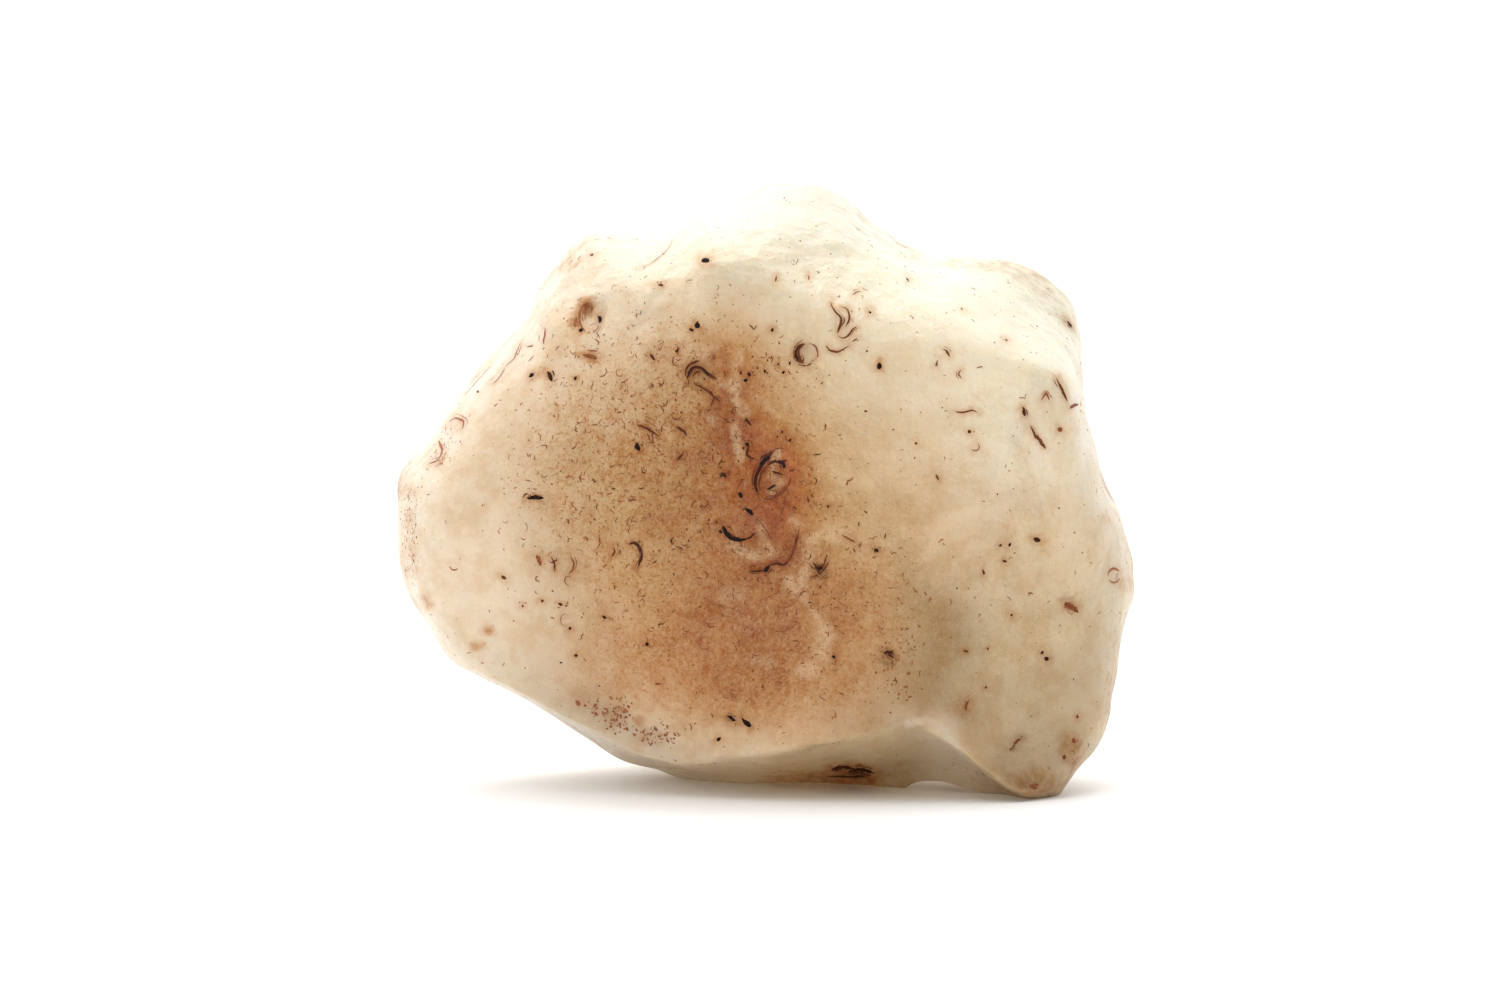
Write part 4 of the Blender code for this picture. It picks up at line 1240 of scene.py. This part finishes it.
class GlassOperator(bpy.types.Operator):
    """Make the lump of glass and the scars in its skin"""

    bl_idname = "desert_glass.stone"
    bl_label = "Glass Lump"

    def execute(self, context):
        settings = context.scene.desert_glass
        scar_settings = context.scene.desert_glass_scars
        skin = Skin(settings.cells)
        found = amounts(skin)
        stone = put_mesh("glass_lump", skin.points, skin.faces.tolist())
        for name, values in found.items():
            add_values(stone, name, values)
        stone.data.materials.append(glass_material(settings))
        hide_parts(NODE)

        rng = np.random.default_rng(31)
        large = join("large_scars", [named_scars(skin, rng)])
        parts = []
        longest = scar_settings.longest / MM
        for sheet_number, share in ((0, 1.0), (1, 0.7)):
            nick_count, dot_count = int(scar_settings.nicks * share), int(scar_settings.dots * share)
            parts.append(nicks(skin, sheet_number, nick_count, found["busy"], longest, rng))
            parts.append(crumbs(skin, sheet_number, dot_count, 0.15 + found["busy"], 1.0, 1.0, rng))
        parts.append(crumbs(skin, 0, scar_settings.specks, found["speckled"], 1.8, 0.4, rng))
        small = join("small_scars", parts)
        scar_dirt_and_shade = scar_material(scar_settings)
        for scars in (large, small):
            scars.data.materials.append(scar_dirt_and_shade)
        for piece in (stone, large, small):
            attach(piece, "root")
        return {"FINISHED"}


class StageOperator(bpy.types.Operator):
    """Make the floor, the lights and the camera"""

    bl_idname = "desert_glass.stage"
    bl_label = "Studio"

    def execute(self, context):
        scene = context.scene
        settings = scene.desert_glass_studio
        scene.view_settings.view_transform = "Standard"
        scene.cycles.max_bounces = 6
        scene.cycles.transmission_bounces = 4
        scene.cycles.diffuse_bounces = 2
        scene.cycles.glossy_bounces = 2
        self.lay_floor(settings)
        self.light(scene, settings)
        self.place_camera(scene, settings)
        return {"FINISHED"}

    def lay_floor(self, settings):
        """A wide pale floor that the stone stands on."""
        left, right, near, far = FLOOR
        corners = np.array([(left, near, 0), (right, near, 0), (right, far, 0), (left, far, 0)], float)
        floor = put_mesh("floor", corners, [(0, 1, 2, 3)], smooth=False)
        graph = Graph(bpy.data.materials.new("pale floor"))
        sockets = {"Base Color": (*settings.floor, 1), "Roughness": 0.5, "Specular IOR Level": 0.0}
        shader = graph.node("ShaderNodeBsdfPrincipled", None, sockets)
        graph.node("ShaderNodeOutputMaterial", None, {"Surface": shader})
        floor.data.materials.append(graph.owner)

    def light(self, scene, settings):
        """An even white sky, brighter behind and above, and one soft lamp."""
        graph = Graph(bpy.data.worlds.new("studio"))
        away = graph.node("ShaderNodeTexCoord").vector("DOT_PRODUCT", BRIGHT_SIDE, out=1)
        strength = away.step(-0.2, 0.6, settings.front, settings.sky)
        background = graph.node("ShaderNodeBackground", None, {"Color": (1, 1, 1, 1), "Strength": strength})
        graph.node("ShaderNodeOutputWorld", None, {"Surface": background})
        scene.world = graph.owner

        data = bpy.data.lights.new("soft lamp", "AREA")
        data.size = 0.2
        data.energy = settings.lamp
        lamp = bpy.data.objects.new("soft lamp", data)
        self.put(scene, lamp, Vector(LAMP_PLACE), Vector(LAMP_AIM))

    def put(self, scene, item, place, aim):
        """Puts a lamp or a camera in its place, pointing at its aim."""
        item.location = place
        item.rotation_euler = (aim - place).to_track_quat("-Z", "Y").to_euler()
        scene.collection.objects.link(item)

    def place_camera(self, scene, settings):
        """A camera in front of the stone, looking a little down at its middle."""
        data = bpy.data.cameras.new("camera")
        data.lens = settings.lens
        data.sensor_width = 36
        data.clip_start = 0.01
        camera = bpy.data.objects.new("camera", data)
        back = Vector((0, -math.cos(settings.tilt), math.sin(settings.tilt)))
        aim = Vector(CAMERA_AIM)
        self.put(scene, camera, aim + settings.distance * back, aim)
        scene.camera = camera


class GlassPanel(bpy.types.Panel):
    """Shows the settings of the desert glass and the buttons that make it"""

    bl_idname = "VIEW3D_PT_desert_glass"
    bl_label = "Desert Glass"
    bl_space_type = "VIEW_3D"
    bl_region_type = "UI"
    bl_category = "Desert Glass"

    def draw(self, context):
        for group, label in SETTINGS.values():
            box = self.layout.box()
            box.label(text=label)
            settings = getattr(context.scene, group)
            for name in settings.__annotations__:
                box.prop(settings, name)
        for operator in (GlassOperator, StageOperator):
            self.layout.operator(operator.bl_idname)


# For each group of settings: its name on the scene and its title in the panel.
SETTINGS = {
    GlassSettings: ("desert_glass", "Glass"),
    ScarSettings: ("desert_glass_scars", "Scars"),
    StudioSettings: ("desert_glass_studio", "Studio"),
}
CLASSES = (*SETTINGS, GlassOperator, StageOperator, GlassPanel)


def register():
    for kind in CLASSES:
        bpy.utils.register_class(kind)
    for kind, (group, _) in SETTINGS.items():
        setattr(bpy.types.Scene, group, PointerProperty(type=kind))


def unregister():
    for group, _ in SETTINGS.values():
        delattr(bpy.types.Scene, group)
    for kind in reversed(CLASSES):
        bpy.utils.unregister_class(kind)


def main():
    register()
    bpy.ops.desert_glass.stone()
    bpy.ops.desert_glass.stage()
    bpy.context.view_layer.update()


if __name__ == "__main__":
    main()
